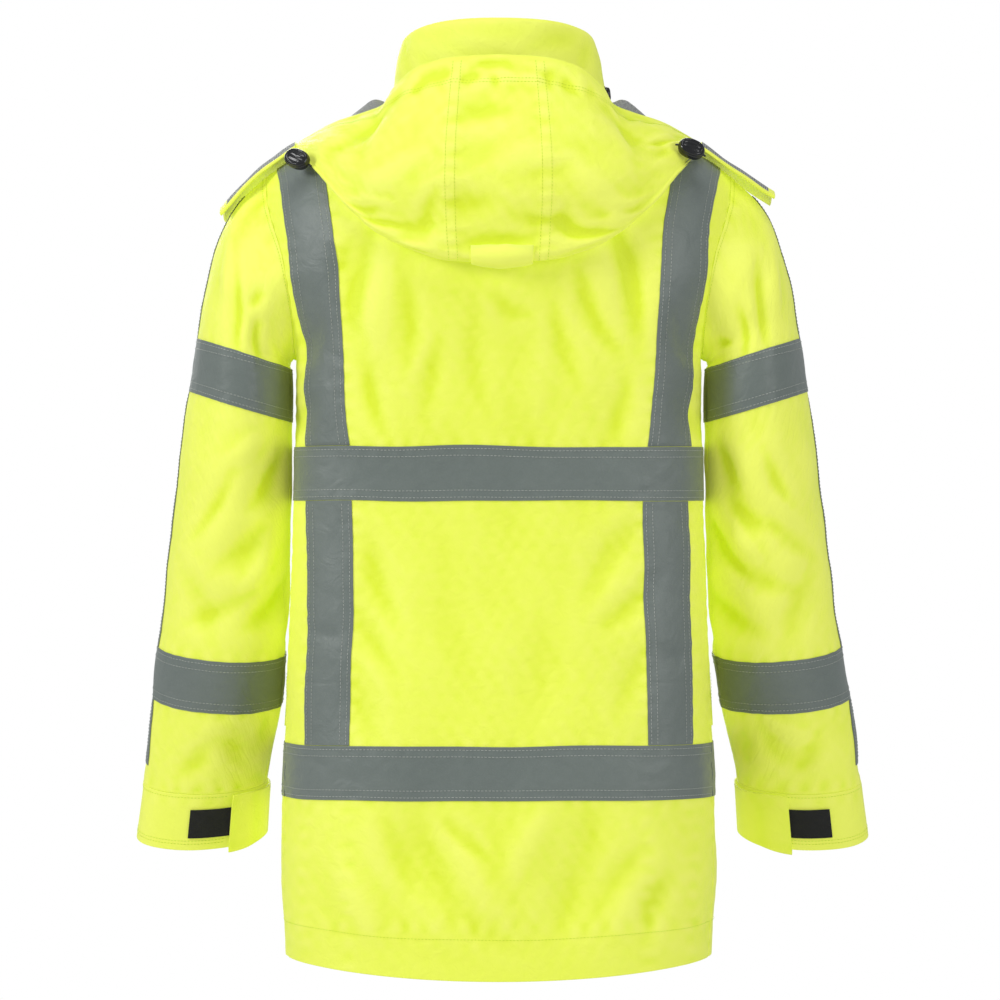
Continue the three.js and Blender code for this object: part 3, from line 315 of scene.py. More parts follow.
def waves(a, b, seed, longest, shortest, count=14):
    """A smooth uneven height from 1 to -1 or so: a sum of sines of seeded directions, lengths and phases."""
    rng = np.random.RandomState(seed)
    total = np.zeros(np.broadcast(a, b).shape)
    for _ in range(count):
        length = longest * (shortest / longest) ** rng.rand()
        turn, phase = rng.rand(2) * 2 * math.pi
        total += np.sin((a * math.cos(turn) + b * math.sin(turn)) * 2 * math.pi / length + phase)
    return total / math.sqrt(count) / 1.4


def pucker(distance, along, seed, reach=9.0, length=17.0):
    """Small gathers beside a stitched line: an uneven sine along it that dies away across it."""
    sway = 0.6 * waves(along, 0, seed, 4 * length, 1.5 * length, 5)
    gathers = np.sin(along * 2 * math.pi / length + 2.2 * sway)
    return np.exp(-((distance / reach) ** 2)) * gathers * (0.6 + 0.5 * sway)


def torso(column, z):
    return value(TORSO, "z", column, z)


def shoulder_z(x):
    return value(SHOULDER, "x", "z", np.abs(x))


def armhole_x(z):
    return value(ARMHOLE, "z", "x", z)


def torso_depth(half, x, z):
    """Depth of the torso at x and z: a squared ellipse at that height, and above the yoke an arch that
    closes on the shoulder seam."""
    level = np.minimum(z, YOKE)
    square = torso("square_" + half, level)
    out = np.clip(np.abs(x) / torso("side", level), 0, 1)
    depth = torso(half, level) * (1 - out ** square) ** (1 / square)
    up = np.clip((z - YOKE) / (shoulder_z(x) - YOKE), 0, 1)
    power = YOKE_ROUND[half]
    return depth * (1 - up ** power) ** (1 / power)


def yoke_z(half, x, depth):
    """The height at which the yoke's arch passes a depth."""
    base = torso_depth(half, x, np.full(np.shape(x), YOKE))
    power = YOKE_ROUND[half]
    share = np.clip(np.abs(depth) / base, 0, 1)
    return YOKE + (shoulder_z(x) - YOKE) * (1 - share ** power) ** (1 / power)


def neck_seam(angle):
    """The neck seam's points at angles in degrees from the middle of the back."""
    turn = np.radians(angle)
    x = NECK_WIDTH * np.sin(turn)
    y = np.where(np.cos(turn) >= 0, NECK_BACK, NECK_FRONT) * np.cos(turn)
    inside = np.minimum(np.abs(x), NECK_WIDTH)
    z = np.where(y >= 0, yoke_z("back", inside, y), yoke_z("front", inside, y))
    return np.stack((x, y, z), axis=-1)


def panel_top(half, x):
    """The height of a panel's top edge: the neck seam, then the shoulder seam."""
    depth = (NECK_BACK if half == "back" else NECK_FRONT) * np.sqrt(np.clip(1 - (x / NECK_WIDTH) ** 2, 0, 1))
    return np.where(x >= NECK_WIDTH, shoulder_z(x), yoke_z(half, np.minimum(x, NECK_WIDTH), depth))


def panel_rows(half, v):
    """Rows of a torso panel as polylines from the middle to the side seam or armhole, with the arc lengths
    of their points and of five marks: middle, neck, both tape edges and the end."""
    sign = 1 if half == "back" else -1
    v = v[:, None]
    rising = v > 1
    level = np.where(rising, ARMPIT, mix(HEM, ARMPIT, v))

    def height(x):
        return np.where(rising, mix(ARMPIT, panel_top(half, x), v - 1), level)

    side, seam = torso("side", level), torso("seam", level)
    square = torso("square_back", level)

    def side_x(y):
        return side * (1 - (y / torso("back", level)) ** square) ** (1 / square)

    below = side if half == "front" else side_x(seam)
    end = armhole_x(level)
    for _ in range(40):
        end = armhole_x(height(end))
    end = np.where(rising, end, below)
    split = np.where(rising, mix(96, NECK_WIDTH, v - 1), 96)
    ease = np.sin(np.linspace(0, math.pi / 2, 151))
    x = np.concatenate((split * ease[:-1], mix(split, end, ease)), axis=1)
    z = height(x)
    y = sign * torso_depth(half, x, z)
    if half == "back":
        z = z - np.where(rising, 0, HEM_DROP * (1 - smooth(v * 6)) * (1 - (x / side) ** 2))
    points = np.stack((x, y, z), axis=-1)
    if half == "front":
        round_y = np.where(rising, 0, seam) * np.linspace(0, 1, 31)[None, 1:]
        round_x = np.where(rising, end, side_x(round_y))
        round_y = np.where(rising, points[:, -1:, 1], round_y)
        round_z = np.broadcast_to(points[:, -1:, 2], round_x.shape)
        points = np.concatenate((points, np.stack((round_x, round_y, round_z), axis=-1)), axis=1)
    length = arc_lengths(points, 1)
    tape_x = value(TAPE_LINE, "z", "x", height(np.full_like(v, 150.0)))
    reach = x.shape[1]

    def at_x(where):
        return np.array([np.interp(w, row, run) for w, row, run in zip(where.ravel(), x, length[:, :reach])])

    tape = at_x(tape_x)
    middle = np.zeros(len(v)) if half == "back" else at_x(np.full(len(v), ZIP_HALF))
    marks = np.stack((middle, at_x(split), tape, tape + TAPE_WIDTH, length[:, -1]), axis=1)
    return points, length, marks


def torso_grid(half, c, v):
    """The plain torso at columns c and rows v. Columns run 0 middle, 1 neck, 2 and 3 the tape's edges and 4
    the side seam or armhole, negative on the wearer's right. Rows run 0 hem, 1 armpit, 2 shoulder."""
    points, length, marks = panel_rows(half, v)
    where = np.stack([np.interp(np.abs(c), np.arange(5), row) for row in marks])
    grid = np.stack([np.stack([np.interp(w, run, row[:, k]) for k in range(3)], axis=-1)
                     for w, run, row in zip(where, length, points)])
    grid[..., 0] *= np.where(c < 0, -1, 1)
    grid[v >= 2, :, 1] += 0.3 if half == "back" else -0.3
    return grid


def torso_surface(half):
    """A function of columns and rows that gives the torso's creased surface and its normals."""
    folds = BACK_FOLDS if half == "back" else FRONT_FOLDS
    facing = -1 if half == "back" else 1
    seed = 11 if half == "back" else 12

    def form(c, v):
        grid = torso_grid(half, c, v)
        x, z = grid[..., 0].copy(), grid[..., 2].copy()
        off = np.abs(c)[None]
        still = smooth((4 - off) * 1.2 - 0.2) * smooth((2 - v)[:, None] * 4) * smooth(v[:, None] * 12)
        still = still * (1 if half == "back" else smooth(off * 4))
        grid[..., 0] += 1.3 * waves(z, x * 0.4, seed + 80, 170, 70, 8) * still
        grid[..., 2] += 1.2 * waves(x, z * 0.4, seed + 81, 170, 70, 8) * still
        fade = smooth((4 - off) * 1.6) * smooth((2 - v)[:, None] * 3)
        deep = FOLD_GAIN["torso"] * fold_depth(folds, x, z) * fade
        hold = 0.25 + 0.75 * smooth((4 - np.abs(c))[None] * 4) * smooth(v[:, None] * 20)
        deep += 1.0 * waves(x, z * 0.7, seed, 150, 45) * hold
        deep += 0.16 * waves(x, z, seed + 20, 26, 9, 22) * hold
        tape = value(TAPE_LINE, "z", "x", z)
        for k, edge in enumerate((tape, tape + 42)):
            deep += 0.45 * pucker(np.abs(x) - edge, z + 7 * np.sign(x), seed + 30 + k)
        for k, top in enumerate(BAND_TOPS.values()):
            for down in (0, TAPE_WIDTH):
                deep += 0.4 * pucker(z - top + down, x, seed + 40 + k + int(down))
        deep += 0.5 * pucker((4 - np.abs(c))[None] * 50, z, seed + 60)
        if half == "back":
            deep += 0.5 * pucker(z - HEM_STITCH, x, seed + 61, 8, 21) * (v[:, None] < 1)
        grid = grid - normals(grid, facing) * deep[..., None]
        return grid, normals(grid, facing)

    return form


def row_at(z):
    """The torso's row at a height below the armpit."""
    return (z - HEM) / (ARMPIT - HEM)


def armhole_seam(turn):
    """The left armhole seam's points at angles in degrees from the shoulder point towards the back."""
    top = shoulder_z(SHOULDER_WIDTH)
    z = mix(ARMPIT, top, (1 + np.cos(np.radians(turn))) / 2)
    x = armhole_x(z)
    back = np.mod(turn, 360) <= 180
    y = np.where(back, torso_depth("back", x, z), -torso_depth("front", x, z))
    return np.stack((x, y, z), axis=-1)


def sleeve_ring(turn, along):
    """The left sleeve's plain rings: ellipses through an outer and an inner point, leaning forward."""
    def ring(column):
        return value(SLEEVE, "at", column, along)

    outer = np.stack((ring("outer_x"), 0 * along, ring("outer_z")), axis=-1)
    inner = np.stack((ring("inner_x"), 0 * along, ring("inner_z")), axis=-1)
    arm = (outer - inner) * 0.5 * np.cos(np.radians(turn))[..., None]
    deep = ring("deep") * np.sin(np.radians(turn))
    lean = np.radians(ring("pitch"))
    push = np.stack((0 * deep, ring("mid") + deep * np.cos(lean), -deep * np.sin(lean)), axis=-1)
    return (outer + inner) * 0.5 + arm + push


def sleeve_place(grid, along, mirror):
    """A sleeve's points from the left one's plain ones: the right sleeve's end hangs farther out."""
    out = SWING if mirror < 0 else 0.0
    grid[..., 0] = mirror * (grid[..., 0] + out * smooth((along - 400) / 170))
    return grid


def sleeve_turn(column, along):
    """The turn of a sleeve column: 0 outer seam, 1 and -1 the stripe's edges, 8 and -8 the inner seam."""
    reach = np.degrees(TAPE_WIDTH / 2 / value(SLEEVE, "at", "deep", along))
    off = np.abs(column)
    turn = np.where(off <= 1, reach * off, mix(reach, 180, (off - 1) / 7))
    return STRIPE_TURN + turn * np.sign(column)


def sleeve_surface(name):
    """A function of columns and distances along that gives a sleeve's creased surface and normals."""
    mirror = dict(SIDES)[name]
    folds = SLEEVE_FOLDS[name]
    seed = 71 if name == "left" else 72

    def form(column, along):
        column, along = np.meshgrid(column, along)
        turn = sleeve_turn(column, along)
        grid = sleeve_ring(turn, along)
        hold = (1 - smooth(along / CAP_BLEND))[..., None]
        grid = grid + hold * (armhole_seam(turn) - sleeve_ring(turn, np.zeros_like(along)))
        grid = sleeve_place(grid, along, mirror)
        fade = smooth(along / 60) * smooth((CUFF_SEAM - along) / 34)
        around = value(SLEEVE, "at", "deep", along)
        lap = np.mod(turn, 360)
        deep = np.zeros_like(turn)
        for i in range(len(folds["x"])):
            one = {k: folds[k][i:i + 1].copy() for k in folds}
            apart = np.mod(lap - one["x"][0] + 180, 360) - 180
            one["x"][0] = 0
            deep += fold_depth(one, np.radians(apart) * around, along)
        deep *= FOLD_GAIN["sleeve"] * fade
        soft = smooth(along / 14) * smooth((CUFF_SEAM - along) / 10)
        arc = np.radians(turn) * around
        fine = 0.9 * waves(arc, along * 0.8, seed, 110, 36) + 0.16 * waves(arc, along, seed + 5, 24, 8, 22)
        deep += fine * soft
        for k, edge in enumerate((UPPER_BAND, UPPER_BAND + TAPE_WIDTH, LOWER_BAND, LOWER_BAND + TAPE_WIDTH)):
            deep += 0.5 * pucker(along - edge, arc, seed + 10 + k) * soft
        deep += 0.8 * pucker(along, arc, seed + 20, 14, 19) * smooth(along / 4)
        deep += 0.8 * pucker(along - CUFF_SEAM, arc, seed + 21, 14, 15) * smooth((CUFF_SEAM - along) / 3)
        grid = grid - normals(grid, -mirror) * deep[..., None]
        return grid, normals(grid, -mirror)

    return form


def cuff_surface(name):
    """A function of turns and distances along that gives a cuff's surface and normals."""
    mirror = dict(SIDES)[name]

    def form(turn, along):
        turn, along = np.meshgrid(turn, along)
        grid = sleeve_place(sleeve_ring(turn, along), along, mirror)
        lap = np.radians(turn)
        deep = 0.5 * np.sin(lap * 3 + 1 + mirror) + 0.3 * np.sin(lap * 7 + mirror)
        deep += 0.35 * np.exp(-(((along - CUFF_SEAM - 4) / 8) ** 2)) * np.sin(lap * 16)
        grid = grid - normals(grid, -mirror) * (deep * smooth((along - CUFF_SEAM) / 10))[..., None]
        return grid, normals(grid, -mirror)

    return form


def rim_height(turn):
    """The height of the collar's rim at an angle in radians from the middle of the back."""
    share = ((1 - np.cos(turn)) / 2) ** COLLAR_RIM["flat"]
    return mix(COLLAR_RIM["back_z"], COLLAR_RIM["front_z"], share)


def collar_form(angle, up):
    """The collar: from the neck seam to its rim, swollen a little between, with slow waves along its top."""
    angle, up = np.meshgrid(angle, up)
    turn = np.radians(angle)
    base = neck_seam(angle)
    back = np.cos(turn)
    depth = np.where(back > 0, COLLAR_RIM["back"], COLLAR_RIM["front"])
    rim = np.stack((COLLAR_RIM["width"] * np.sin(turn), depth * back, rim_height(turn)), axis=-1)
    point = mix(base, rim, up[..., None])
    swell = COLLAR_RIM["bulge"] * np.sin(math.pi * up)
    swell += 1.2 * waves(angle * 1.7, up * 90, 101, 150, 50) * smooth(up * 4)
    swell -= 0.8 * fold_depth(COLLAR_FOLDS, angle * 1.7, up * 90)
    point[..., 0] += swell * np.sin(turn)
    point[..., 1] += swell * back
    return point, normals(point, -1)


def catmull_rom(points, count):
    """Smooth curves through rows of points: centripetal Catmull-Rom, sampled at counts of points passed."""
    first = 2 * points[:, :1] - points[:, 1:2]
    last = 2 * points[:, -1:] - points[:, -2:-1]
    p = np.concatenate((first, points, last), axis=1)
    gap = np.linalg.norm(np.diff(p, axis=1), axis=-1, keepdims=True) ** 0.5
    p0, p1, p2, p3 = p[:, :-3], p[:, 1:-2], p[:, 2:-1], p[:, 3:]
    g0, g1, g2 = gap[:, :-2], gap[:, 1:-1], gap[:, 2:]
    m1 = ((p1 - p0) / g0 - (p2 - p0) / (g0 + g1) + (p2 - p1) / g1) * g1
    m2 = ((p2 - p1) / g1 - (p3 - p1) / (g1 + g2) + (p3 - p2) / g2) * g1
    k = np.clip(count.astype(int), 0, p.shape[1] - 4)
    t = (count - k)[None, :, None]
    p1, p2, m1, m2 = (a[:, k] for a in (p1, p2, m1, m2))
    curve = p1 + m1 * t + (-3 * p1 + 3 * p2 - 2 * m1 - m2) * t ** 2 + (2 * p1 - 2 * p2 + m1 + m2) * t ** 3
    return np.swapaxes(curve, 0, 1)


def hood_profiles(u, w):
    """The plain hood: in each column a line from the face edge down the outside, round the lower fold and up
    the inner leg to the neck seam. A row w is the number of the line's points passed."""
    col = {name: value(HOOD, "u", name, np.abs(u)) for name in HOOD if name != "u"}
    edge = np.stack((col["edge_x"], col["edge_y"], col["edge_z"]), axis=-1)
    fold_x, fold_z, bulge = col["fold_x"], col["fold_z"], col["bulge"]
    skin = torso_depth("back", fold_x, fold_z)
    points = [edge]
    low = np.stack((fold_x, skin + 10, fold_z), axis=-1)
    for share in (0.2, 0.42, 0.64, 0.84):
        out = bulge * math.sin(math.pi * share ** 1.15)
        push = np.stack((out * fold_x / 260, out, out * col["rise"]), axis=-1)
        points.append(mix(edge, low, share) + push)
    up = 5.5 * col["rise"]
    points.append(np.stack((fold_x, skin + 9 + 0.28 * bulge, fold_z + 2 + up), axis=-1))
    points.append(np.stack((fold_x * 0.995, skin + 6.5, fold_z + up), axis=-1))
    seat = neck_seam(col["neck"]) * np.array((1.045, 1.045, 1)) + np.array((0, 0, 4))
    for share, puff in INNER_LEG:
        x = mix(fold_x, seat[:, 0], share)
        start = torso_depth("back", x, fold_z + 8)
        y = mix(np.minimum(start, skin), seat[:, 1], share ** (1.4 - 0.6 * np.abs(u)))
        z = np.where(y >= 0, yoke_z("back", x, y), yoke_z("front", x, y))
        lift = 2.6 + col["puff"] * puff
        points.append(np.stack((x, y + lift * 0.5, z + lift), axis=-1))
    points.append(seat)
    grid = catmull_rom(np.stack(points, axis=1), w)
    grid[..., 0] *= np.where(u < 0, -1, 1)
    return grid


def hood_form(u, w):
    """The creased hood and its normals."""
    grid = hood_profiles(u, w)
    across = u[None] * HOOD_REACH + 0 * w[:, None]
    down = w[:, None] * HOOD_STEP + 0 * u[None]
    outside = smooth((HOOD_FOLD - 0.5 - w)[:, None] / 0.7)
    apart = smooth((1 - np.abs(u))[None] * 3)
    soft = smooth(w[:, None] * 3) * smooth((HOOD_STEPS - w)[:, None] * 2) * (0.3 + 0.7 * apart)
    deep = FOLD_GAIN["hood"] * fold_depth(HOOD_FOLDS, across, down) * outside * soft
    fine = 1.0 * waves(across, down, 111, 90, 34) + 0.16 * waves(across, down, 112, 22, 8, 22)
    deep = deep + fine * soft
    for seam in (-HOOD_SEAM, HOOD_SEAM):
        strip = smooth((5.2 - np.abs(across - seam)) / 1.2)
        deep = deep - 0.55 * strip * outside * soft
        deep = deep + 0.8 * pucker(across - seam, down, 113 + int(seam), 9, 15) * outside * soft
    deep = deep + 1.1 * pucker(down - 25, across, 115, 9, 22) * soft
    grid = grid - normals(grid, 1) * deep[..., None]
    return grid, normals(grid, 1)


def flap_surface(name):
    """The hood's side end over a shoulder: a domed strip from its root at the hood to its free end."""
    mirror = dict(SIDES)[name]

    def form(x, y):
        x, y = np.meshgrid(x, y)
        drop = np.where(y > 4, 8 * ((y - 4) / 30) ** 2, 10 * ((y - 4) / 50) ** 2)
        z = value(FLAP_LINES[name], "x", "z", x) - drop + 0.9 * waves(x, y, 121 + mirror, 60, 24)
        grid = np.stack((mirror * x, y, z), axis=-1)
        return grid, normals(grid, mirror)

    return form


def front_strip(across, up):
    """The front edge as a strip: up runs 0 at the hem, 1 armpit, 2 neck seam and 3 the collar's rim."""
    across, up = np.meshgrid(across, up)
    c = np.maximum(np.abs(across), ZIP_HALF)
    top = panel_top("front", np.zeros(1))[0]
    z = np.where(up <= 1, mix(HEM, ARMPIT, up), mix(ARMPIT, top, np.clip(up - 1, 0, 1)))
    low = np.stack((across, -torso_depth("front", c, z), z), axis=-1)
    angle = 180 - np.degrees(c / NECK_WIDTH)
    rise = np.clip(up - 2, 0, 1)
    base = neck_seam(angle)
    turn = np.radians(angle)
    depth = COLLAR_RIM["front"] * np.cos(turn)
    rim = np.stack((across, depth, rim_height(turn)), axis=-1)
    high = mix(base, rim, rise[..., None])
    high[..., 0] = across * mix(1, 0.9, rise)
    high[..., 1] -= COLLAR_RIM["bulge"] * np.sin(math.pi * rise)
    grid = np.where((up <= 2)[..., None], low, high)
    return grid, normals(grid, 1)


def put_mesh(name, verts, quads, uv, materials, face_material=None, tris=None, hollow=None):
    """A mesh object in metres from arrays of points, quads and triangles, with a UV map in metres and, if
    given, how deep each point lies in a fold."""
    mesh = bpy.data.meshes.new(name)
    faces = [f for f in (quads, tris) if f is not None and len(f)]
    corners = np.concatenate([f.ravel() for f in faces]).astype(np.int32)
    starts, offset = [], 0
    for f in faces:
        starts.append(offset + np.arange(len(f)) * f.shape[1])
        offset += f.size
    starts = np.concatenate(starts).astype(np.int32)
    mesh.vertices.add(len(verts))
    mesh.vertices.foreach_set("co", (np.asarray(verts) * MM).astype(np.float32).ravel())
    mesh.loops.add(len(corners))
    mesh.loops.foreach_set("vertex_index", corners)
    mesh.polygons.add(len(starts))
    mesh.polygons.foreach_set("loop_start", starts)
    mesh.update(calc_edges=True)
    mesh.validate()
    layer = mesh.uv_layers.new(name="cloth")
    layer.data.foreach_set("uv", (np.asarray(uv)[corners] * MM).astype(np.float32).ravel())
    mesh.polygons.foreach_set("use_smooth", np.ones(len(starts), dtype=bool))
    if hollow is not None:
        mesh.attributes.new("hollow", "FLOAT", "POINT").data.foreach_set("value", hollow.astype(np.float32))
    for material in materials:
        mesh.materials.append(material)
    if face_material is not None:
        mesh.polygons.foreach_set("material_index", face_material.astype(np.int32))
    mesh.update()
    piece = bpy.data.objects.new(name, mesh)
    bpy.context.scene.collection.objects.link(piece)
    return piece


def signed_volume(verts, quads):
    """Six times a closed mesh's volume, negative where its faces point inward."""
    a, b, c, d = (verts[quads[:, k]] for k in range(4))
    return float(np.sum(a * np.cross(b, c)) + np.sum(a * np.cross(c, d)))


def hollows(grid, out, wrap):
    """How far along out a grid's points lie under the mean of the points 9 mm to each side of them."""
    total = np.zeros(grid.shape[:2])
    for axis in (0, 1):
        count = grid.shape[axis]
        pace = np.median(np.linalg.norm(np.diff(grid, axis=axis), axis=-1))
        reach = int(np.clip(round(9 / max(pace, 1e-3)), 1, max(1, count // 3)))
        index = np.arange(count)
        ahead, behind = index + reach, index - reach
        if wrap and axis == 1:
            ahead, behind = ahead % count, behind % count
        else:
            span = np.minimum(reach, np.minimum(index, count - 1 - index))
            ahead, behind = index + span, index - span
        mean = (np.take(grid, ahead, axis=axis) + np.take(grid, behind, axis=axis)) / 2
        total += np.sum((mean - grid) * out, axis=-1)
    return total


def shell(name, outer, inner, materials, wrap=False, inside=0, rim=0):
    """A closed shell between an outer and an inner grid, joined round their edges. wrap closes its columns.
    inside and rim are the numbers of the materials there."""
    rows, columns = outer.shape[:2]
    index = np.arange(rows * columns).reshape(rows, columns)
    ahead = np.roll(index, -1, axis=1) if wrap else index[:, 1:]
    here = index if wrap else index[:, :-1]
    face = np.stack((here[:-1], ahead[:-1], ahead[1:], here[1:]), axis=-1).reshape(-1, 4)
    back = face[:, ::-1] + rows * columns
    down = rows * columns
    first = np.stack((here[0], here[0] + down, ahead[0] + down, ahead[0]), axis=-1)
    last = np.stack((here[-1], ahead[-1], ahead[-1] + down, here[-1] + down), axis=-1)
    edges = [first, last]
    if not wrap:
        start, end = index[:, 0], index[:, -1]
        edges.append(np.stack((start[:-1], start[1:], start[1:] + down, start[:-1] + down), axis=-1))
        edges.append(np.stack((end[:-1], end[:-1] + down, end[1:] + down, end[1:]), axis=-1))
    quads = np.concatenate([face, back] + edges)
    kinds = np.concatenate((np.zeros(len(face)), np.full(len(back), inside),
                            np.full(len(quads) - len(face) - len(back), rim)))
    verts = np.concatenate((outer.reshape(-1, 3), inner.reshape(-1, 3)))
    if signed_volume(verts, quads) < 0:
        quads = quads[:, ::-1]
    run = arc_lengths(outer, 1)
    run = run - run[:, columns // 2][:, None]
    rise = arc_lengths(outer, 0)
    uv = np.tile(np.stack((run, rise), axis=-1).reshape(-1, 2), (2, 1))
    # How deep each point lies in a fold, which the shell material turns into painted shade and painted
    # highlight.
    hollow = np.tile(hollows(outer, unit(outer - inner), wrap).ravel(), 2)
    return put_mesh(name, verts, quads, uv, materials, kinds, hollow=hollow)


def cloth(name, form, u, v, low, wall, materials, **options):
    """A closed shell on a form: its inner face stands low off the surface, and it is wall thick."""
    grid, normal = form(u, v)
    return shell(name, grid + normal * (low + wall), grid + normal * low, materials, **options)


def stitches(paths, pitch, gap, width, rise):
    """Stitches along paths of points and normals: each a short spindle with a tip at both ends and two
    square rings between, sunk a little at its tips. Gives points, quads and triangles."""
    places, alongs, ups = [], [], []
    for points, normal in paths:
        run = arc_lengths(points, 0)
        if run[-1] < pitch:
            continue

        def along_path(at, values):
            return np.stack([np.interp(at, run, values[:, k]) for k in range(3)], axis=-1)

        at = np.arange(pitch / 2, run[-1] - pitch / 2, pitch)
        places.append(along_path(at, points))
        alongs.append(unit(along_path(at + 0.5, points) - along_path(at - 0.5, points)))
        ups.append(unit(along_path(at, normal)))
    place, along, up = (np.concatenate(a)[:, None] for a in (places, alongs, ups))
    side = unit(np.cross(along, up))
    half = (pitch - gap) / 2
    tip = [place - along * half - up * 0.12, place + along * half - up * 0.12]
    rings = []
    for shift in (-0.55, 0.55):
        for a, b in ((1, 0), (0, 1), (-1, 0), (0, -1)):
            ring = place + along * half * shift
            rings.append(ring + side * (a * width / 2) + up * (rise * (0.5 + 0.5 * b)))
    verts = np.concatenate([tip[0]] + rings + [tip[1]], axis=1)
    quads = np.array([[1 + k, 1 + (k + 1) % 4, 5 + (k + 1) % 4, 5 + k] for k in range(4)])
    start = [[0, 1 + (k + 1) % 4, 1 + k] for k in range(4)]
    end = [[9, 5 + k, 5 + (k + 1) % 4] for k in range(4)]
    tris = np.array(start + end)
    base = (np.arange(len(verts)) * 10)[:, None, None]
    return verts.reshape(-1, 3), (quads + base).reshape(-1, 4), (tris + base).reshape(-1, 3)


def thread_piece(name, paths, material, slot, **sizes):
    """One piece of all the stitches along a list of paths."""
    verts, quads, tris = stitches(paths, **sizes)
    folded = np.concatenate((tris, tris[:, 2:]), axis=1)
    if signed_volume(verts, np.concatenate((quads, folded))) < 0:
        quads, tris = quads[:, ::-1], tris[:, ::-1]
    piece = put_mesh(name, verts, quads, verts[:, [0, 2]], [material], tris=tris)
    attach(piece, "root")
    return piece


def path_on(form, u, v, lift):
    """Points and normals of a line on a form, where u or v is one number. Lines beside it give the normals,
    nearer where v counts parts than where it is a distance."""
    if np.ndim(u) == 0:
        grid, normal = form(np.array([u - 0.01, u, u + 0.01]), v)
        grid, normal = grid[:, 1], normal[:, 1]
    else:
        beside = 0.001 if np.max(np.abs(v)) < 4 else 0.3
        grid, normal = form(u, np.array([v - beside, v, v + beside]))
        grid, normal = grid[1], normal[1]
    return grid + normal * lift, normal


def settle(piece, nodes):
    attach(piece, "root")
    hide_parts(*nodes)
    return piece


def group(name, inputs, outputs):
    """A shader node group with its inputs as name, type and default, and its outputs as name and type."""
    tree = bpy.data.node_groups.new(name, "ShaderNodeTree")
    for label, kind, default in inputs:
        socket = tree.interface.new_socket(label, in_out="INPUT", socket_type="NodeSocket" + kind)
        if default is not None:
            socket.default_value = default
    for label, kind in outputs:
        tree.interface.new_socket(label, in_out="OUTPUT", socket_type="NodeSocket" + kind)
    return tree, tree.nodes.new("NodeGroupInput"), tree.nodes.new("NodeGroupOutput")


def node(tree, kind, values=None, **settings):
    """A node with its settings and its input values or links, by socket name or number."""
    made = tree.nodes.new(kind)
    for key, setting in settings.items():
        setattr(made, key, setting)
    for key, source in (values or {}).items():
        if isinstance(source, bpy.types.NodeSocket):
            tree.links.new(source, made.inputs[key])
        else:
            made.inputs[key].default_value = source
    return made


def calc(tree, operation, a, b=0.0, clamp=False):
    return node(tree, "ShaderNodeMath", {0: a, 1: b}, operation=operation, use_clamp=clamp).outputs[0]


def blend(tree, share, first, second):
    """A colour between two others."""
    values = {0: share, 6: first, 7: second}
    return node(tree, "ShaderNodeMix", values, data_type="RGBA").outputs[2]


def make_weave_group():
    """Plain weave: two crossing trains of yarn, each raised where the other dips. Puts out its height."""
    tree, source, sink = group("yarn_weave", [("Vector", "Vector", None), ("Yarns", "Float", 2000)],
                               [("Height", "Float")])
    parts = node(tree, "ShaderNodeSeparateXYZ", {0: source.outputs["Vector"]})
    turns = []
    for axis in (0, 1):
        scaled = calc(tree, "MULTIPLY", parts.outputs[axis], source.outputs["Yarns"])
        turns.append(calc(tree, "MULTIPLY", scaled, 2 * math.pi))
    warp = calc(tree, "SINE", turns[0])
    weft = calc(tree, "SINE", turns[1])
    over = calc(tree, "MULTIPLY", calc(tree, "SINE", calc(tree, "MULTIPLY", turns[0], 0.5)),
                calc(tree, "SINE", calc(tree, "MULTIPLY", turns[1], 0.5)))
    pick = calc(tree, "GREATER_THAN", over, 0)
    high = {2: calc(tree, "ABSOLUTE", warp), 3: calc(tree, "ABSOLUTE", weft)}
    height = node(tree, "ShaderNodeMix", {0: pick, **high})
    tree.links.new(height.outputs[0], sink.inputs["Height"])
    return tree


def make_mottle_group():
    """Uneven tone: two sizes of soft noise that darken or lighten a colour a little."""
    tree, source, sink = group(
        "cloth_mottle",
        [("Vector", "Vector", None), ("Color", "Color", None), ("Shade", "Color", None),
         ("Amount", "Float", 0.3), ("Size", "Float", 20)],
        [("Color", "Color"), ("Value", "Float")])
    at, scale = source.outputs["Vector"], source.outputs["Size"]
    coarse = {"Vector": at, "Scale": scale, "Detail": 4.0, "Roughness": 0.55}
    large = node(tree, "ShaderNodeTexNoise", coarse)
    small = node(tree, "ShaderNodeTexNoise", {"Vector": at, "Detail": 3.0,
                                              "Scale": calc(tree, "MULTIPLY", scale, 14)})
    both = calc(tree, "ADD", calc(tree, "MULTIPLY", large.outputs[0], 0.65),
                calc(tree, "MULTIPLY", small.outputs[0], 0.35))
    level = calc(tree, "MULTIPLY", calc(tree, "SUBTRACT", both, 0.35, True),
                 calc(tree, "MULTIPLY", source.outputs["Amount"], 3.0), True)
    tint = blend(tree, level, source.outputs["Color"], source.outputs["Shade"])
    tree.links.new(tint, sink.inputs["Color"])
    tree.links.new(level, sink.inputs["Value"])
    return tree


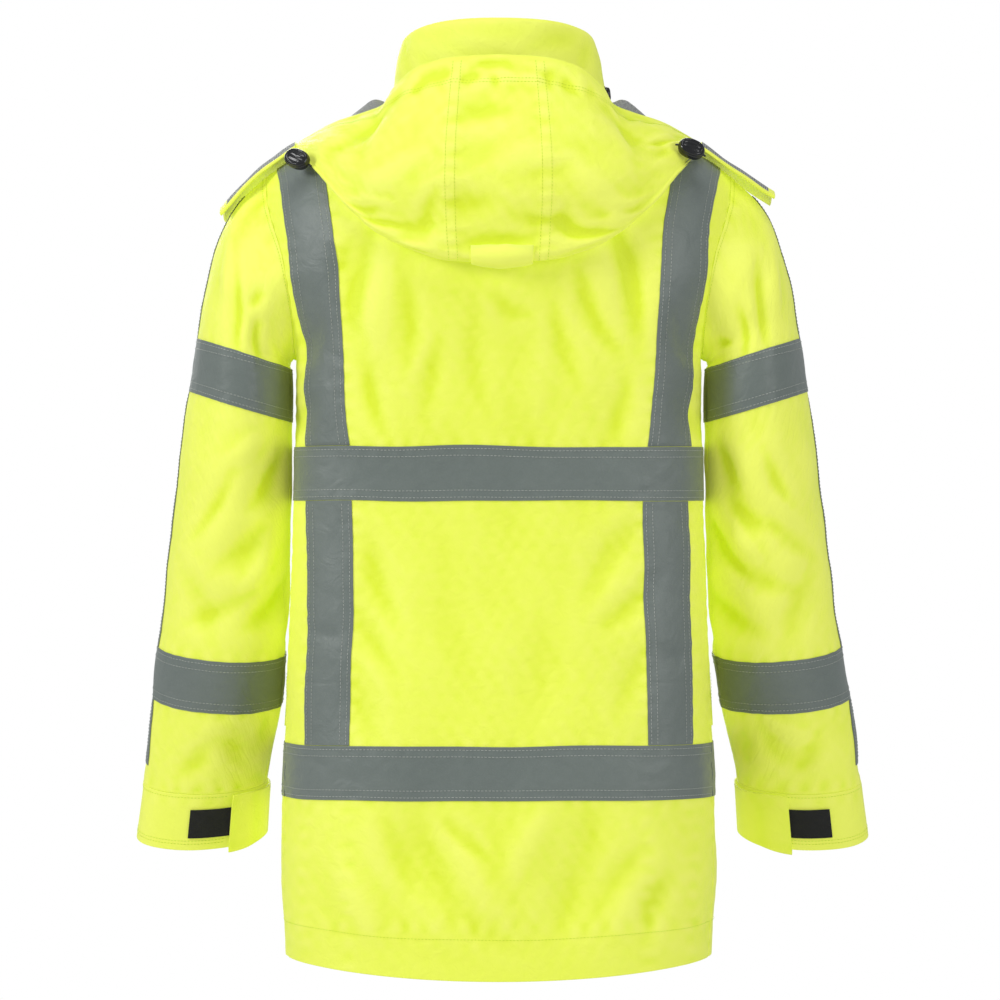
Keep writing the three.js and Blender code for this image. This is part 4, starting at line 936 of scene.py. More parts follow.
def make_mesh_group():
    """Knitted mesh: holes on a lattice of equal triangles, from three crossing cosines. Puts out a mask."""
    tree, source, sink = group("knit_mesh", [("Vector", "Vector", None), ("Pitch", "Float", 340)],
                               [("Hole", "Float")])
    parts = node(tree, "ShaderNodeSeparateXYZ", {0: source.outputs["Vector"]})
    total = None
    for turn in (0, 60, 120):
        x = calc(tree, "MULTIPLY", parts.outputs[0], math.cos(math.radians(turn)))
        y = calc(tree, "MULTIPLY", parts.outputs[1], math.sin(math.radians(turn)))
        phase = calc(tree, "MULTIPLY", calc(tree, "ADD", x, y), source.outputs["Pitch"])
        wave = calc(tree, "COSINE", calc(tree, "MULTIPLY", phase, 2 * math.pi))
        total = wave if total is None else calc(tree, "ADD", total, wave)
    hole = node(tree, "ShaderNodeMapRange", {0: total, 1: 0.0, 2: 1.1}, interpolation_type="SMOOTHSTEP")
    tree.links.new(hole.outputs[0], sink.inputs["Hole"])
    return tree


def material(name):
    """A new material with its node tree, its shader and the socket of its UV map."""
    made = bpy.data.materials.new(name)
    made.use_nodes = True
    tree = made.node_tree
    uv = node(tree, "ShaderNodeUVMap", uv_map="cloth").outputs[0]
    return made, tree, tree.nodes["Principled BSDF"], uv


def use(tree, which, values):
    """A node group's node with its input values or links."""
    made = tree.nodes.new("ShaderNodeGroup")
    made.node_tree = which
    for key, source in values.items():
        if isinstance(source, bpy.types.NodeSocket):
            tree.links.new(source, made.inputs[key])
        else:
            made.inputs[key].default_value = source
    return made


def mottled(tree, groups, uv, color, shade, amount, size):
    """A colour made uneven with a shade of it, as the mottle group's node."""
    values = {"Vector": uv, "Color": (*color, 1), "Shade": (*shade, 1), "Amount": amount, "Size": size}
    return use(tree, groups["mottle"], values)


def noise(tree, uv, scale, detail, **more):
    """The height of a noise texture on the cloth's UV map."""
    values = {"Vector": uv, "Scale": scale, "Detail": detail, **more}
    return node(tree, "ShaderNodeTexNoise", values).outputs[0]


def bump(tree, shader, height, distance, strength=1.0, below=None):
    """Bumps a shader with a height, over the bump below if there is one, and gives the normal."""
    values = {"Height": height, "Distance": distance, "Strength": strength}
    if below is not None:
        values["Normal"] = below
    out = node(tree, "ShaderNodeBump", values).outputs[0]
    tree.links.new(out, shader.inputs["Normal"])
    return out


def shell_material(name, looks, groups, paler=0.0):
    """Fluorescent coated polyester: mottled yellow with a painted glow that stands in for its fluorescence,
    painted shade deep in its folds and a painted highlight on their crests, with fine yarns and a soft
    crumple in its bump."""
    made, tree, shader, uv = material(name)
    color = [mix(a, 1.0, paler) for a in looks.yellow]
    tone = mottled(tree, groups, uv, color, looks.yellow_mottle_and_painted_shade, 0.2, 9.0)
    # The hollow attribute lays painted shade in the troughs of the folds and a painted highlight on their
    # crests.
    fold = node(tree, "ShaderNodeAttribute", attribute_name="hollow").outputs["Fac"]
    raised = calc(tree, "MULTIPLY", fold, -0.7, True)
    crest_painted_highlight = blend(tree, raised, tone.outputs["Color"], (*looks.yellow_painted_highlight, 1))
    sunk = calc(tree, "MULTIPLY", fold, 0.62, True)
    yellow = blend(tree, sunk, crest_painted_highlight, (*looks.yellow_mottle_and_painted_shade, 1))
    tree.links.new(yellow, shader.inputs["Base Color"])
    tree.links.new(yellow, shader.inputs["Emission Color"])
    # Painted glow: emission that stands in for the cloth's fluorescence and shines the same whatever the
    # lamps.
    shader.inputs["Emission Strength"].default_value = looks.glow
    shader.inputs["Roughness"].default_value = 0.5
    shader.inputs["Specular IOR Level"].default_value = 0.45
    shader.inputs["Sheen Weight"].default_value = 0.1
    weave = use(tree, groups["weave"], {"Vector": uv, "Yarns": 1900.0})
    first = bump(tree, shader, weave.outputs["Height"], 0.00012, 0.35)
    crumple = noise(tree, uv, 95.0, 4.0, Distortion=0.6)
    bump(tree, shader, crumple, 0.0016, 0.6, first)
    return made


def tape_material(looks, groups):
    """Reflective tape: grey glass beads, a fine grain and faint cross creases."""
    made, tree, shader, uv = material("reflective_tape")
    tone = mottled(tree, groups, uv, looks.tape, looks.tape_light, 0.55, 7.0)
    grain = node(tree, "ShaderNodeTexVoronoi", {"Vector": uv, "Scale": 2600.0})
    bead = calc(tree, "MULTIPLY", grain.outputs["Distance"], 0.35)
    speck = blend(tree, bead, tone.outputs["Color"], (0.30, 0.33, 0.32, 1))
    tree.links.new(speck, shader.inputs["Base Color"])
    rough = calc(tree, "ADD", calc(tree, "MULTIPLY", tone.outputs["Value"], 0.14), 0.42)
    tree.links.new(rough, shader.inputs["Roughness"])
    shader.inputs["Specular IOR Level"].default_value = 0.45
    shader.inputs["Sheen Weight"].default_value = 0.15
    first = bump(tree, shader, grain.outputs["Distance"], 0.00008, 0.4)
    crease = noise(tree, uv, 42.0, 5.0, Distortion=1.2)
    bump(tree, shader, crease, 0.0022, 0.6, first)
    return made


def lining_material(looks, groups):
    """Grey knitted mesh lining with pale cloth behind its holes."""
    made, tree, shader, uv = material("mesh_lining")
    mesh = use(tree, groups["mesh"], {"Vector": uv, "Pitch": 470.0})
    tone = mottled(tree, groups, uv, looks.lining, looks.lining_shade, 0.4, 30.0)
    dotted = blend(tree, mesh.outputs["Hole"], tone.outputs["Color"], (*looks.lining_hole, 1))
    tree.links.new(dotted, shader.inputs["Base Color"])
    shader.inputs["Roughness"].default_value = 0.8
    first = bump(tree, shader, calc(tree, "SUBTRACT", 1.0, mesh.outputs["Hole"]), 0.0004, 0.9)
    yarn = use(tree, groups["weave"], {"Vector": uv, "Yarns": 2600.0})
    bump(tree, shader, yarn.outputs["Height"], 0.0001, 0.4, first)
    return made


def loop_material(groups):
    """Black loop pile: a fuzz of fine noise with grey specks."""
    made, tree, shader, uv = material("loop_pile")
    tone = mottled(tree, groups, uv, (0.004, 0.004, 0.004), (0.016, 0.016, 0.015), 0.6, 160.0)
    tree.links.new(tone.outputs["Color"], shader.inputs["Base Color"])
    shader.inputs["Roughness"].default_value = 0.95
    shader.inputs["Sheen Weight"].default_value = 0.12
    fuzz = noise(tree, uv, 1100.0, 6.0, Roughness=0.8)
    bump(tree, shader, fuzz, 0.0012, 1.0)
    return made


def plastic_material(groups):
    """Moulded black plastic with a faint grain."""
    made, tree, shader, uv = material("moulded_plastic")
    tone = mottled(tree, groups, uv, (0.006, 0.006, 0.007), (0.016, 0.016, 0.017), 0.4, 120.0)
    tree.links.new(tone.outputs["Color"], shader.inputs["Base Color"])
    rough = calc(tree, "ADD", calc(tree, "MULTIPLY", tone.outputs["Value"], 0.2), 0.2)
    tree.links.new(rough, shader.inputs["Roughness"])
    bump(tree, shader, noise(tree, uv, 900.0, 2.0), 0.0001, 0.25)
    return made


def thread_material(name, color, shade, groups, glow=0.0):
    """Twisted sewing thread."""
    made, tree, shader, uv = material(name)
    tone = mottled(tree, groups, uv, color, shade, 0.5, 200.0)
    tree.links.new(tone.outputs["Color"], shader.inputs["Base Color"])
    # Painted glow: the thread shines by its own emission.
    if glow:
        tree.links.new(tone.outputs["Color"], shader.inputs["Emission Color"])
        shader.inputs["Emission Strength"].default_value = glow
    shader.inputs["Roughness"].default_value = 0.55
    twist = node(tree, "ShaderNodeTexWave", {"Vector": uv, "Scale": 700.0}, bands_direction="DIAGONAL")
    bump(tree, shader, twist.outputs["Fac"], 0.0001, 0.5)
    return made


FINISHES = {}


def finish(name):
    """A material by name, with all of them made on the first call."""
    if not FINISHES:
        looks = bpy.context.scene.parka_looks
        groups = {"weave": make_weave_group(), "mottle": make_mottle_group(), "mesh": make_mesh_group()}
        FINISHES["yellow"] = shell_material("fluorescent_shell", looks, groups)
        FINISHES["strip"] = shell_material("fluorescent_shell_double", looks, groups, 0.06)
        FINISHES["tape"] = tape_material(looks, groups)
        FINISHES["lining"] = lining_material(looks, groups)
        FINISHES["pile"] = loop_material(groups)
        FINISHES["plastic"] = plastic_material(groups)
        FINISHES["tape_thread"] = thread_material(
            "tape_thread", (0.46, 0.49, 0.45), (0.60, 0.62, 0.56), groups)
        # Cloth thread made darker than the cloth's yellow as painted shade for the seam grooves; it also
        # carries a painted glow.
        FINISHES["yellow_thread_painted_seam_shade"] = thread_material(
            "yellow_thread_painted_seam_shade", (0.60, 0.72, 0.02), (0.50, 0.62, 0.015), groups, looks.glow * 0.6)
    return FINISHES[name]


def length(label, about, default):
    return bpy.props.FloatProperty(name=label, description=about, default=default, unit="LENGTH")


def colour(label, about, default):
    return bpy.props.FloatVectorProperty(name=label, description=about, subtype="COLOR", default=default,
                                         min=0, max=1)


class ParkaSizes(bpy.types.PropertyGroup):
    """Sizes that a user would change."""
    body_wall: length("Body cloth", "Thickness of the body cloth, lining included", 0.0018)
    sleeve_wall: length("Sleeve cloth", "Thickness of the sleeve cloth", 0.0016)
    tape_wall: length("Tape", "Thickness of the reflective tape", 0.0006)
    tape_lift: length("Tape lift", "Air between the cloth and the tape", 0.0003)
    edge_stitch: length("Edge stitch", "From the tape's edge to its outer stitches", 0.0033)
    inner_stitch: length("Inner stitch", "From the tape's edge to its inner stitches", 0.0096)


class ParkaLooks(bpy.types.PropertyGroup):
    """Colours and glow that a user would change."""
    yellow: colour("Yellow", "Fluorescent shell cloth", (0.81, 0.90, 0.082))
    # Painted highlight laid on the crests of the shell cloth's folds.
    yellow_painted_highlight: colour("Yellow pale", "Crests of the shell cloth's folds", (0.85, 0.91, 0.125))
    # Random mottle of the shell cloth, and painted shade laid in the troughs of its folds.
    yellow_mottle_and_painted_shade: colour("Yellow shade", "Deeper parts of the shell cloth", (0.70, 0.82, 0.022))
    tape: colour("Tape", "Reflective tape", (0.118, 0.146, 0.130))
    tape_light: colour("Tape light", "Paler parts of the tape", (0.168, 0.200, 0.178))
    lining: colour("Lining", "Mesh lining", (0.17, 0.175, 0.185))
    lining_shade: colour("Lining shade", "Deeper parts of the lining", (0.12, 0.125, 0.13))
    lining_hole: colour("Lining holes", "What shows through the mesh", (0.66, 0.68, 0.62))
    # Painted glow: the shell cloth's emission, standing in for its fluorescence.
    glow: bpy.props.FloatProperty(name="Glow", description="How strongly the shell cloth fluoresces",
                                  default=0.18, min=0, max=1)


def size(name):
    """A size from the scene's settings, in millimetres."""
    return getattr(bpy.context.scene.parka_sizes, name) / MM


def body_rows(count_low, count_high):
    """Rows of a body panel, with close ones at the hem and the shoulder and more near the shoulder."""
    rows = lines(0, count_low, 1, count_high, 1.93, 14, 2, edge=0)
    return np.insert(rows, [1, len(rows) - 1], [0.0012, 1.9994])


def panel_columns(counts, start=0.0, end=4.0):
    """Columns through the panel's five marks, with count steps between one mark and the next."""
    parts = [np.linspace(max(k, start), k + 1, n, endpoint=False) for k, n in enumerate(counts)]
    columns = np.concatenate(parts + [np.array([end])])
    return np.insert(columns, len(columns) - 1, end - 0.01)


# Half the gap at a side seam, as a share of the last column.
SEAM_SHARE = 0.0035
SIDE_COLUMN = 4 - SEAM_SHARE
BACK_COUNTS, FRONT_COUNTS = (30, 13, 15, 17), (28, 12, 14, 28)
# The fronts begin a little off the middle, since a column's sign says which side it is on.
FRONT_EDGE = 1e-6


def back_columns():
    """The back panel's columns, from one side seam to the other."""
    half = panel_columns(BACK_COUNTS, end=SIDE_COLUMN)
    return np.concatenate((-half[:0:-1], half))


def front_columns(mirror):
    """A front's columns, from the middle to its side seam."""
    return mirror * panel_columns(FRONT_COUNTS, start=FRONT_EDGE, end=SIDE_COLUMN)


class PARKA_OT_body(bpy.types.Operator):
    """Back panel and fronts"""
    bl_idname = "parka.body"
    bl_label = "Body panels"

    def execute(self, context):
        wall = size("body_wall")
        rows = body_rows(155, 62)
        back = cloth("back_panel_cloth", torso_surface("back"), back_columns(), rows, -wall, wall,
                     [finish("yellow")])
        settle(back, ["back_panel"])
        for name, mirror in SIDES:
            columns = np.sort(np.insert(front_columns(mirror), 1, mirror * 0.006))
            rows = body_rows(132, 52)
            front = cloth(f"front_{name}_cloth", torso_surface("front"), columns, rows, -wall, wall,
                          [finish("yellow")])
            settle(front, [f"front_{name}"])
        return {"FINISHED"}


# Between the end of one tape and the edge of the tape that crosses it.
TAPE_GAP = 0.4


class PARKA_OT_body_tapes(bpy.types.Operator):
    """Reflective tapes round the body and over the shoulders"""
    bl_idname = "parka.body_tapes"
    bl_label = "Body tapes"

    def execute(self, context):
        lift, wall = size("tape_lift"), size("tape_wall")
        for name, top in BAND_TOPS.items():
            rows = lines(row_at(top - TAPE_WIDTH), 15, row_at(top), edge=0.0008)
            band = cloth(f"{name}_band_back_tape", torso_surface("back"), back_columns(), rows, lift, wall,
                         [finish("tape")])
            settle(band, [f"{name}_band_back"])
            for side, mirror in SIDES:
                columns = np.sort(front_columns(mirror))
                form = torso_surface("front")
                band = cloth(f"{name}_band_front_{side}_tape", form, columns, rows, lift, wall,
                             [finish("tape")])
                settle(band, [f"{name}_band_front_{side}"])
        waist, hem = BAND_TOPS["waist"], BAND_TOPS["hem"]
        high = lines(row_at(waist + TAPE_GAP), 22, 1, 52, 1.93, 14, 2, edge=0)
        low = lines(row_at(hem + TAPE_GAP), 58, row_at(waist - TAPE_WIDTH - TAPE_GAP), edge=0.0012)
        for side, mirror in SIDES:
            columns = np.sort(mirror * lines(2, 14, 3, edge=0.012))
            for part, half, rows in (("back", "back", high), ("low", "back", low), ("front", "front", high)):
                piece = cloth(f"brace_{part}_{side}_tape", torso_surface(half), columns, rows, lift, wall,
                              [finish("tape")])
                settle(piece, [f"brace_{part}_{side}"])
        return {"FINISHED"}


# A sleeve's seams, as half a gap in its columns, and where its stripes start and end along it.
SLEEVE_SEAM = 0.009
STRIPE_START, STRIPE_END = 28, 586


class PARKA_OT_sleeves(bpy.types.Operator):
    """Two-piece sleeves with their tapes"""
    bl_idname = "parka.sleeves"
    bl_label = "Sleeves"

    def execute(self, context):
        wall, lift, tape = size("sleeve_wall"), size("tape_lift"), size("tape_wall")
        rows = lines(0, 152, CUFF_SEAM - SEAM_HALF, edge=0.7)
        for name, mirror in SIDES:
            form = sleeve_surface(name)

            def seated(column, along):
                grid, normal = form(column, along)
                grid[along < 1, :, 0] += mirror * 0.5
                return grid, normal

            for part, side in (("back", 1), ("front", -1)):
                columns = np.sort(side * lines(SLEEVE_SEAM, 7, 1, 50, 8 - SLEEVE_SEAM, edge=0.02))
                piece = cloth(f"sleeve_{part}_{name}_cloth", seated, columns, rows, -wall, wall,
                              [finish("yellow")])
                settle(piece, [f"sleeve_{part}_{name}"])
            ring = np.linspace(-8, 8, 113)[:-1]
            for band, top, around in (("upper", UPPER_BAND, 0.45), ("lower", LOWER_BAND, 0.37)):
                along = lines(top, 14, top + TAPE_WIDTH, edge=0.6)
                piece = cloth(f"band_{band}_{name}_tape", form, ring, along, lift, tape, [finish("tape")],
                              wrap=True)
                settle(piece, [f"band_{band}_{name}"])
            spans = {"top": (STRIPE_START, UPPER_BAND - TAPE_GAP),
                     "middle": (UPPER_BAND + TAPE_WIDTH + TAPE_GAP, LOWER_BAND - TAPE_GAP),
                     "low": (LOWER_BAND + TAPE_WIDTH + TAPE_GAP, STRIPE_END)}
            for part, (start, end) in spans.items():
                along = lines(start, max(4, (end - start) / 4), end, edge=0.6)
                piece = cloth(f"stripe_{part}_{name}_tape", form, lines(-1, 14, 1, edge=0.02), along, lift,
                              tape, [finish("tape")])
                settle(piece, [f"stripe_{part}_{name}"])
        return {"FINISHED"}


# Turns round the cuff and distances along it, and how far each side's patch and tab are turned.
PATCH_TURNS, PATCH_ROWS = (80, 128), (CUFF_SEAM + 15, CUFF_SEAM + 42)
TAB_TURNS = (117, 225)
TAB_WALL = 2.1
CUFF_TWIST = {"left": 0.0, "right": -15.0}


def tab_grid(form, turn, across, extra, twist):
    """The cuff tab: it follows the cuff, rises over the patch and its free end, and flares there."""
    flare = 1 - smooth((turn - TAB_TURNS[0]) / 60)
    top, end = CUFF_SEAM + 4 - 3 * flare, CUFF_END - 1
    over_patch = 2.2 * (1 - smooth((turn - PATCH_TURNS[1]) / 22))
    lift = 1 + over_patch + 1.2 * (1 - smooth((turn - TAB_TURNS[0]) / 14))
    grid, normal = form(turn + twist, np.linspace(CUFF_SEAM, end, 24))
    pick = np.arange(len(turn))
    grids = []
    for share in across:
        at = mix(top, end + 4 * flare, share)
        low = np.minimum(at, end)
        index = (low - CUFF_SEAM) / (end - CUFF_SEAM) * 23
        i = np.clip(index.astype(int), 0, 22)
        f = (index - i)[:, None]
        point = mix(grid[i, pick], grid[i + 1, pick], f)
        up = unit(mix(normal[i, pick], normal[i + 1, pick], f))
        point = point + up * (lift + extra)[:, None]
        point[:, 2] -= at - low
        grids.append(point)
    return np.stack(grids)


class PARKA_OT_cuffs(bpy.types.Operator):
    """Cuffs with their loop patches and closing tabs"""
    bl_idname = "parka.cuffs"
    bl_label = "Cuffs"

    def execute(self, context):
        for name, twist in CUFF_TWIST.items():
            form = cuff_surface(name)
            rows = lines(CUFF_SEAM + 0.3, 13, CUFF_END, edge=0.5)
            cuff = cloth(f"cuff_{name}_cloth", form, np.linspace(0, 360, 97)[:-1], rows, -2.0, 2.2,
                         [finish("yellow")], wrap=True)
            settle(cuff, [f"cuff_{name}"])
            turn = twist + lines(PATCH_TURNS[0], 24, PATCH_TURNS[1], edge=0.6)
            rows = lines(PATCH_ROWS[0], 14, PATCH_ROWS[1], edge=0.4)
            patch = cloth(f"cuff_patch_{name}_pile", form, turn, rows, 0.7, 1.2, [finish("pile")])
            settle(patch, [f"cuff_patch_{name}"])
            turn = lines(TAB_TURNS[0], 40, TAB_TURNS[1], edge=0.5)
            across = lines(0, 13, 1, edge=0.012)
            outer = tab_grid(form, turn, across, TAB_WALL, twist)
            inner = tab_grid(form, turn, across, 0, twist)
            tab = shell(f"cuff_tab_{name}_cloth", outer, inner, [finish("yellow")])
            settle(tab, [f"cuff_tab_{name}"])
        return {"FINISHED"}


# The pocket flaps' heights and their columns, and the cloth of a flap with its lining.
POCKET_TOP, POCKET_LOW = -536, -592
POCKET_FRONT, POCKET_SIDE = 1.2, 3.42
FLAP_CLOTH = 2.2


class PARKA_OT_collar(bpy.types.Operator):
    """Standing collar, zip strip, storm flap and pocket flaps"""
    bl_idname = "parka.collar"
    bl_label = "Collar and front closing"

    def execute(self, context):
        end = 180 - math.degrees(ZIP_HALF / NECK_WIDTH)
        angle = lines(-end, 150, end, edge=0.3)
        up = np.array([0.008, *np.linspace(0.02, 0.955, 26), 0.975, 0.99, 1.0])
        grid, normal = collar_form(angle, up)
        flat = unit(normal * np.array((1, 1, 0)))
        normal = np.where((up < 0.05)[:, None, None], flat, normal)
        grid[up < 0.01, :, 2] += 1.2
        roll = np.sqrt(np.clip(1 - np.clip((up - 0.955) / 0.045, 0, 1) ** 2, 0, 1))[:, None, None]
        half = COLLAR_WALL / 2
        middle = grid - normal * half
        outer = middle + normal * half * roll
        inner = middle - normal * half * np.maximum(roll, 0.02)
        collar = shell("collar_cloth", outer, inner, [finish("yellow")])
        settle(collar, ["collar"])
        up = lines(0, 130, 1, 46, 2, 26, 3, edge=0)
        strip = cloth("zip_tape", front_strip, np.linspace(-6, 6, 9), up, -2.0, 1.4, [finish("plastic")])
        settle(strip, ["zip"])
        width = float(node_mm("storm_flap")[1][0])
        across = lines(-width, 26, width, edge=0.5)
        up = lines(0, 190, 1, 66, 2, 34, 2.985, edge=0.002)
        flap = cloth("storm_flap_cloth", front_strip, across, up, 1.75, FLAP_CLOTH, [finish("yellow")])
        settle(flap, ["storm_flap"])
        high, low = row_at(POCKET_TOP), row_at(POCKET_LOW)
        for side, mirror in SIDES:
            columns = np.sort(mirror * lines(POCKET_FRONT, 10, 2, 14, 3, 12, POCKET_SIDE, edge=0.01))
            rows = lines(low, 18, high, edge=0.001)
            grid, normal = torso_surface("front")(columns, rows)
            lift = (0.6 + 1.8 * smooth((high - rows) / (high - low)))[:, None, None]
            outer = grid + normal * (lift + FLAP_CLOTH)
            flap = shell(f"pocket_flap_{side}_cloth", outer, grid + normal * lift, [finish("yellow")])
            settle(flap, [f"pocket_flap_{side}"])
        return {"FINISHED"}


class PARKA_OT_hood(bpy.types.Operator):
    """Dropped hood with its lining, loop and side ends"""
    bl_idname = "parka.hood"
    bl_label = "Hood"

    def execute(self, context):
        u = lines(-1, 150, 1, edge=0.004)
        w = lines(0, 72, 4.4, 34, 6.6, 42, HOOD_STEPS, edge=0.02)
        hood = cloth("hood_cloth", hood_form, u, w, -1.8, 1.8, [finish("yellow"), finish("lining")],
                     inside=1)
        settle(hood, ["hood"])
        grid, normal = hood_form(lines(-0.145, 34, 0.115, edge=0.003), lines(4.5, 16, 5.6, edge=0.02))
        share = np.linspace(-1, 1, grid.shape[1])
        lift = (0.6 + 3.0 * (1 - share ** 2) ** 0.8)[None, :, None]
        loop = shell("hood_loop_cloth", grid + normal * (lift + 1.5), grid + normal * lift,
                     [finish("strip")])
        settle(loop, ["hood_loop"])
        for name in ("left", "right"):
            end = FLAP_LINES[name]["x"][-1]
            x = lines(194.6, 34, end, edge=0.6)
            y = lines(FLAP_FRONT, 40, FLAP_BACK, edge=0.6)
            grid, normal = flap_surface(name)(x, y)
            beside = np.clip((np.abs(y - (FLAP_BACK + FLAP_FRONT) / 2) - 37) / 3, 0, 1)
            roll = np.sqrt(np.clip(1 - beside ** 2, 0.02, 1))
            half = FLAP_WALL / 2 * roll[:, None, None]
            middle = grid - normal * FLAP_WALL / 2
            outer, inner = middle + normal * half, middle - normal * half
            flap = shell(f"chin_flap_{name}_cloth", outer, inner, [finish("lining"), finish("yellow")],
                         inside=1, rim=1)
            mesh = flap.data
            kinds = np.zeros(len(mesh.polygons), dtype=np.int32)
            mesh.polygons.foreach_get("material_index", kinds)
            middles = np.zeros(len(mesh.polygons) * 3)
            mesh.polygons.foreach_get("center", middles)
            middles = middles.reshape(-1, 3) / MM
            hem = (middles[:, 1] > FLAP_BACK - 4) | (middles[:, 1] < FLAP_FRONT + 7)
            hem = hem | (np.abs(middles[:, 0]) > end - 6)
            mesh.polygons.foreach_set("material_index", np.where(hem, 1, kinds).astype(np.int32))
            settle(flap, [f"chin_flap_{name}"])
        return {"FINISHED"}


def ring_quads(index):
    """The faces between rings of points, from a grid of the points' numbers with a ring in each row."""
    ahead = np.roll(index, -1, axis=1)
    return np.stack((index[:-1], ahead[:-1], ahead[1:], index[1:]), axis=-1).reshape(-1, 4)


def lock_mesh(name, place, facing, roll, scale):
    """A cord lock: a squared oval bead with two moulded grooves round its waist, a sunk face with ribs along
    it and a short cord through it. Its radius is a superellipse of two angles."""
    long, wide, thick = 13.0, 9.5, 7.0
    theta = np.linspace(0, 2 * math.pi, 73)[:-1]
    phi = np.linspace(-math.pi / 2, math.pi / 2, 38)
    t, p = np.meshgrid(theta, phi)

    def power(x, n):
        return np.sign(x) * np.abs(x) ** n

    x = long * power(np.cos(p), 0.7) * power(np.cos(t), 0.86)
    y = wide * power(np.cos(p), 0.7) * power(np.sin(t), 0.86)
    z = thick * power(np.sin(p), 0.75)
    radius = np.hypot(x / long, y / wide)
    groove = np.exp(-(((np.abs(z) - 2.6) / 0.7) ** 2)) * (radius > 0.6)
    shrink = 1 - 0.06 * groove
    inside = smooth((0.8 - radius) / 0.12)
    sink = inside * (1.1 + 0.3 * np.cos(y * 2 * math.pi / 4.6) * smooth((0.66 - radius) / 0.1))
    x, y, z = x * shrink, y * shrink, z - np.sign(z) * sink
    verts = np.stack((x, y, z), axis=-1).reshape(-1, 3)
    quads = ring_quads(np.arange(t.size).reshape(t.shape))
    cord_sides, cord_radius, half_cord, cord_drop = 10, 1.15, 15.5, 3.0
    turn = np.linspace(0, 2 * math.pi, cord_sides + 1)[:-1]
    run = np.linspace(-1, 1, 16)
    path = np.stack((run * half_cord, 0 * run, -cord_drop * run ** 2 * np.abs(run)), axis=-1)
    ring = np.stack((0 * turn, np.cos(turn), np.sin(turn)), axis=-1) * cord_radius
    narrow = np.where(np.abs(run) > 0.99, 0.7, 1.0)
    tube = path[:, None] + ring[None] * narrow[:, None, None]
    tube_index = len(verts) + np.arange(len(run) * cord_sides).reshape(len(run), cord_sides)
    tube_quads = ring_quads(tube_index)
    ends = len(verts) + tube_index.size + np.arange(2)
    first, last = tube_index[0], tube_index[-1]
    caps = np.concatenate((np.stack((np.full(cord_sides, ends[0]), np.roll(first, -1), first), axis=-1),
                           np.stack((np.full(cord_sides, ends[1]), last, np.roll(last, -1)), axis=-1)))
    verts = np.concatenate((verts, tube.reshape(-1, 3), path[[0, -1]])) * scale
    third = unit(np.asarray(facing, dtype=float))
    first_axis = unit(np.cross((0, 0, 1), third))
    second = np.cross(third, first_axis)
    c, s = math.cos(math.radians(roll)), math.sin(math.radians(roll))
    x, y, z = verts.T
    turned = np.stack((x * c - y * s, x * s + y * c, z), axis=-1)
    placed = turned @ np.stack((first_axis, second, third)) + np.asarray(place)
    if signed_volume(placed, quads) < 0:
        quads = quads[:, ::-1]
    if signed_volume(placed, tube_quads) < 0:
        tube_quads, caps = tube_quads[:, ::-1], caps[:, ::-1]
    quads = np.concatenate((quads, tube_quads))
    return put_mesh(name, placed, quads, verts[:, :2], [finish("plastic")], tris=caps)


# Each cord lock's offset from its solid, the way it faces, its roll and its scale. The collar's hangs clear
# of the hood's edge, a little above its solid.
LOCKS = {
    "cord_lock_left": ((0.0, 0.0, 0.0), (0.25, 0.85, 0.45), -24, 1.0),
    "cord_lock_right": ((0.0, 0.0, 0.0), (-0.25, 0.85, 0.45), -24, 1.0),
    "collar_lock": ((-0.5, 0.0, 8.0), (-0.97, -0.2, 0.1), 88, 0.56),
}


class PARKA_OT_locks(bpy.types.Operator):
    """Cord locks at the hood's ends and the collar"""
    bl_idname = "parka.locks"
    bl_label = "Cord locks"

    def execute(self, context):
        for name, (offset, facing, roll, scale) in LOCKS.items():
            low, high = node_mm(name)
            place = (low + high) / 2 + np.array(offset)
            piece = lock_mesh(f"{name}_moulding", place, facing, roll, scale)
            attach(piece, "root")
            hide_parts(name)
        return {"FINISHED"}


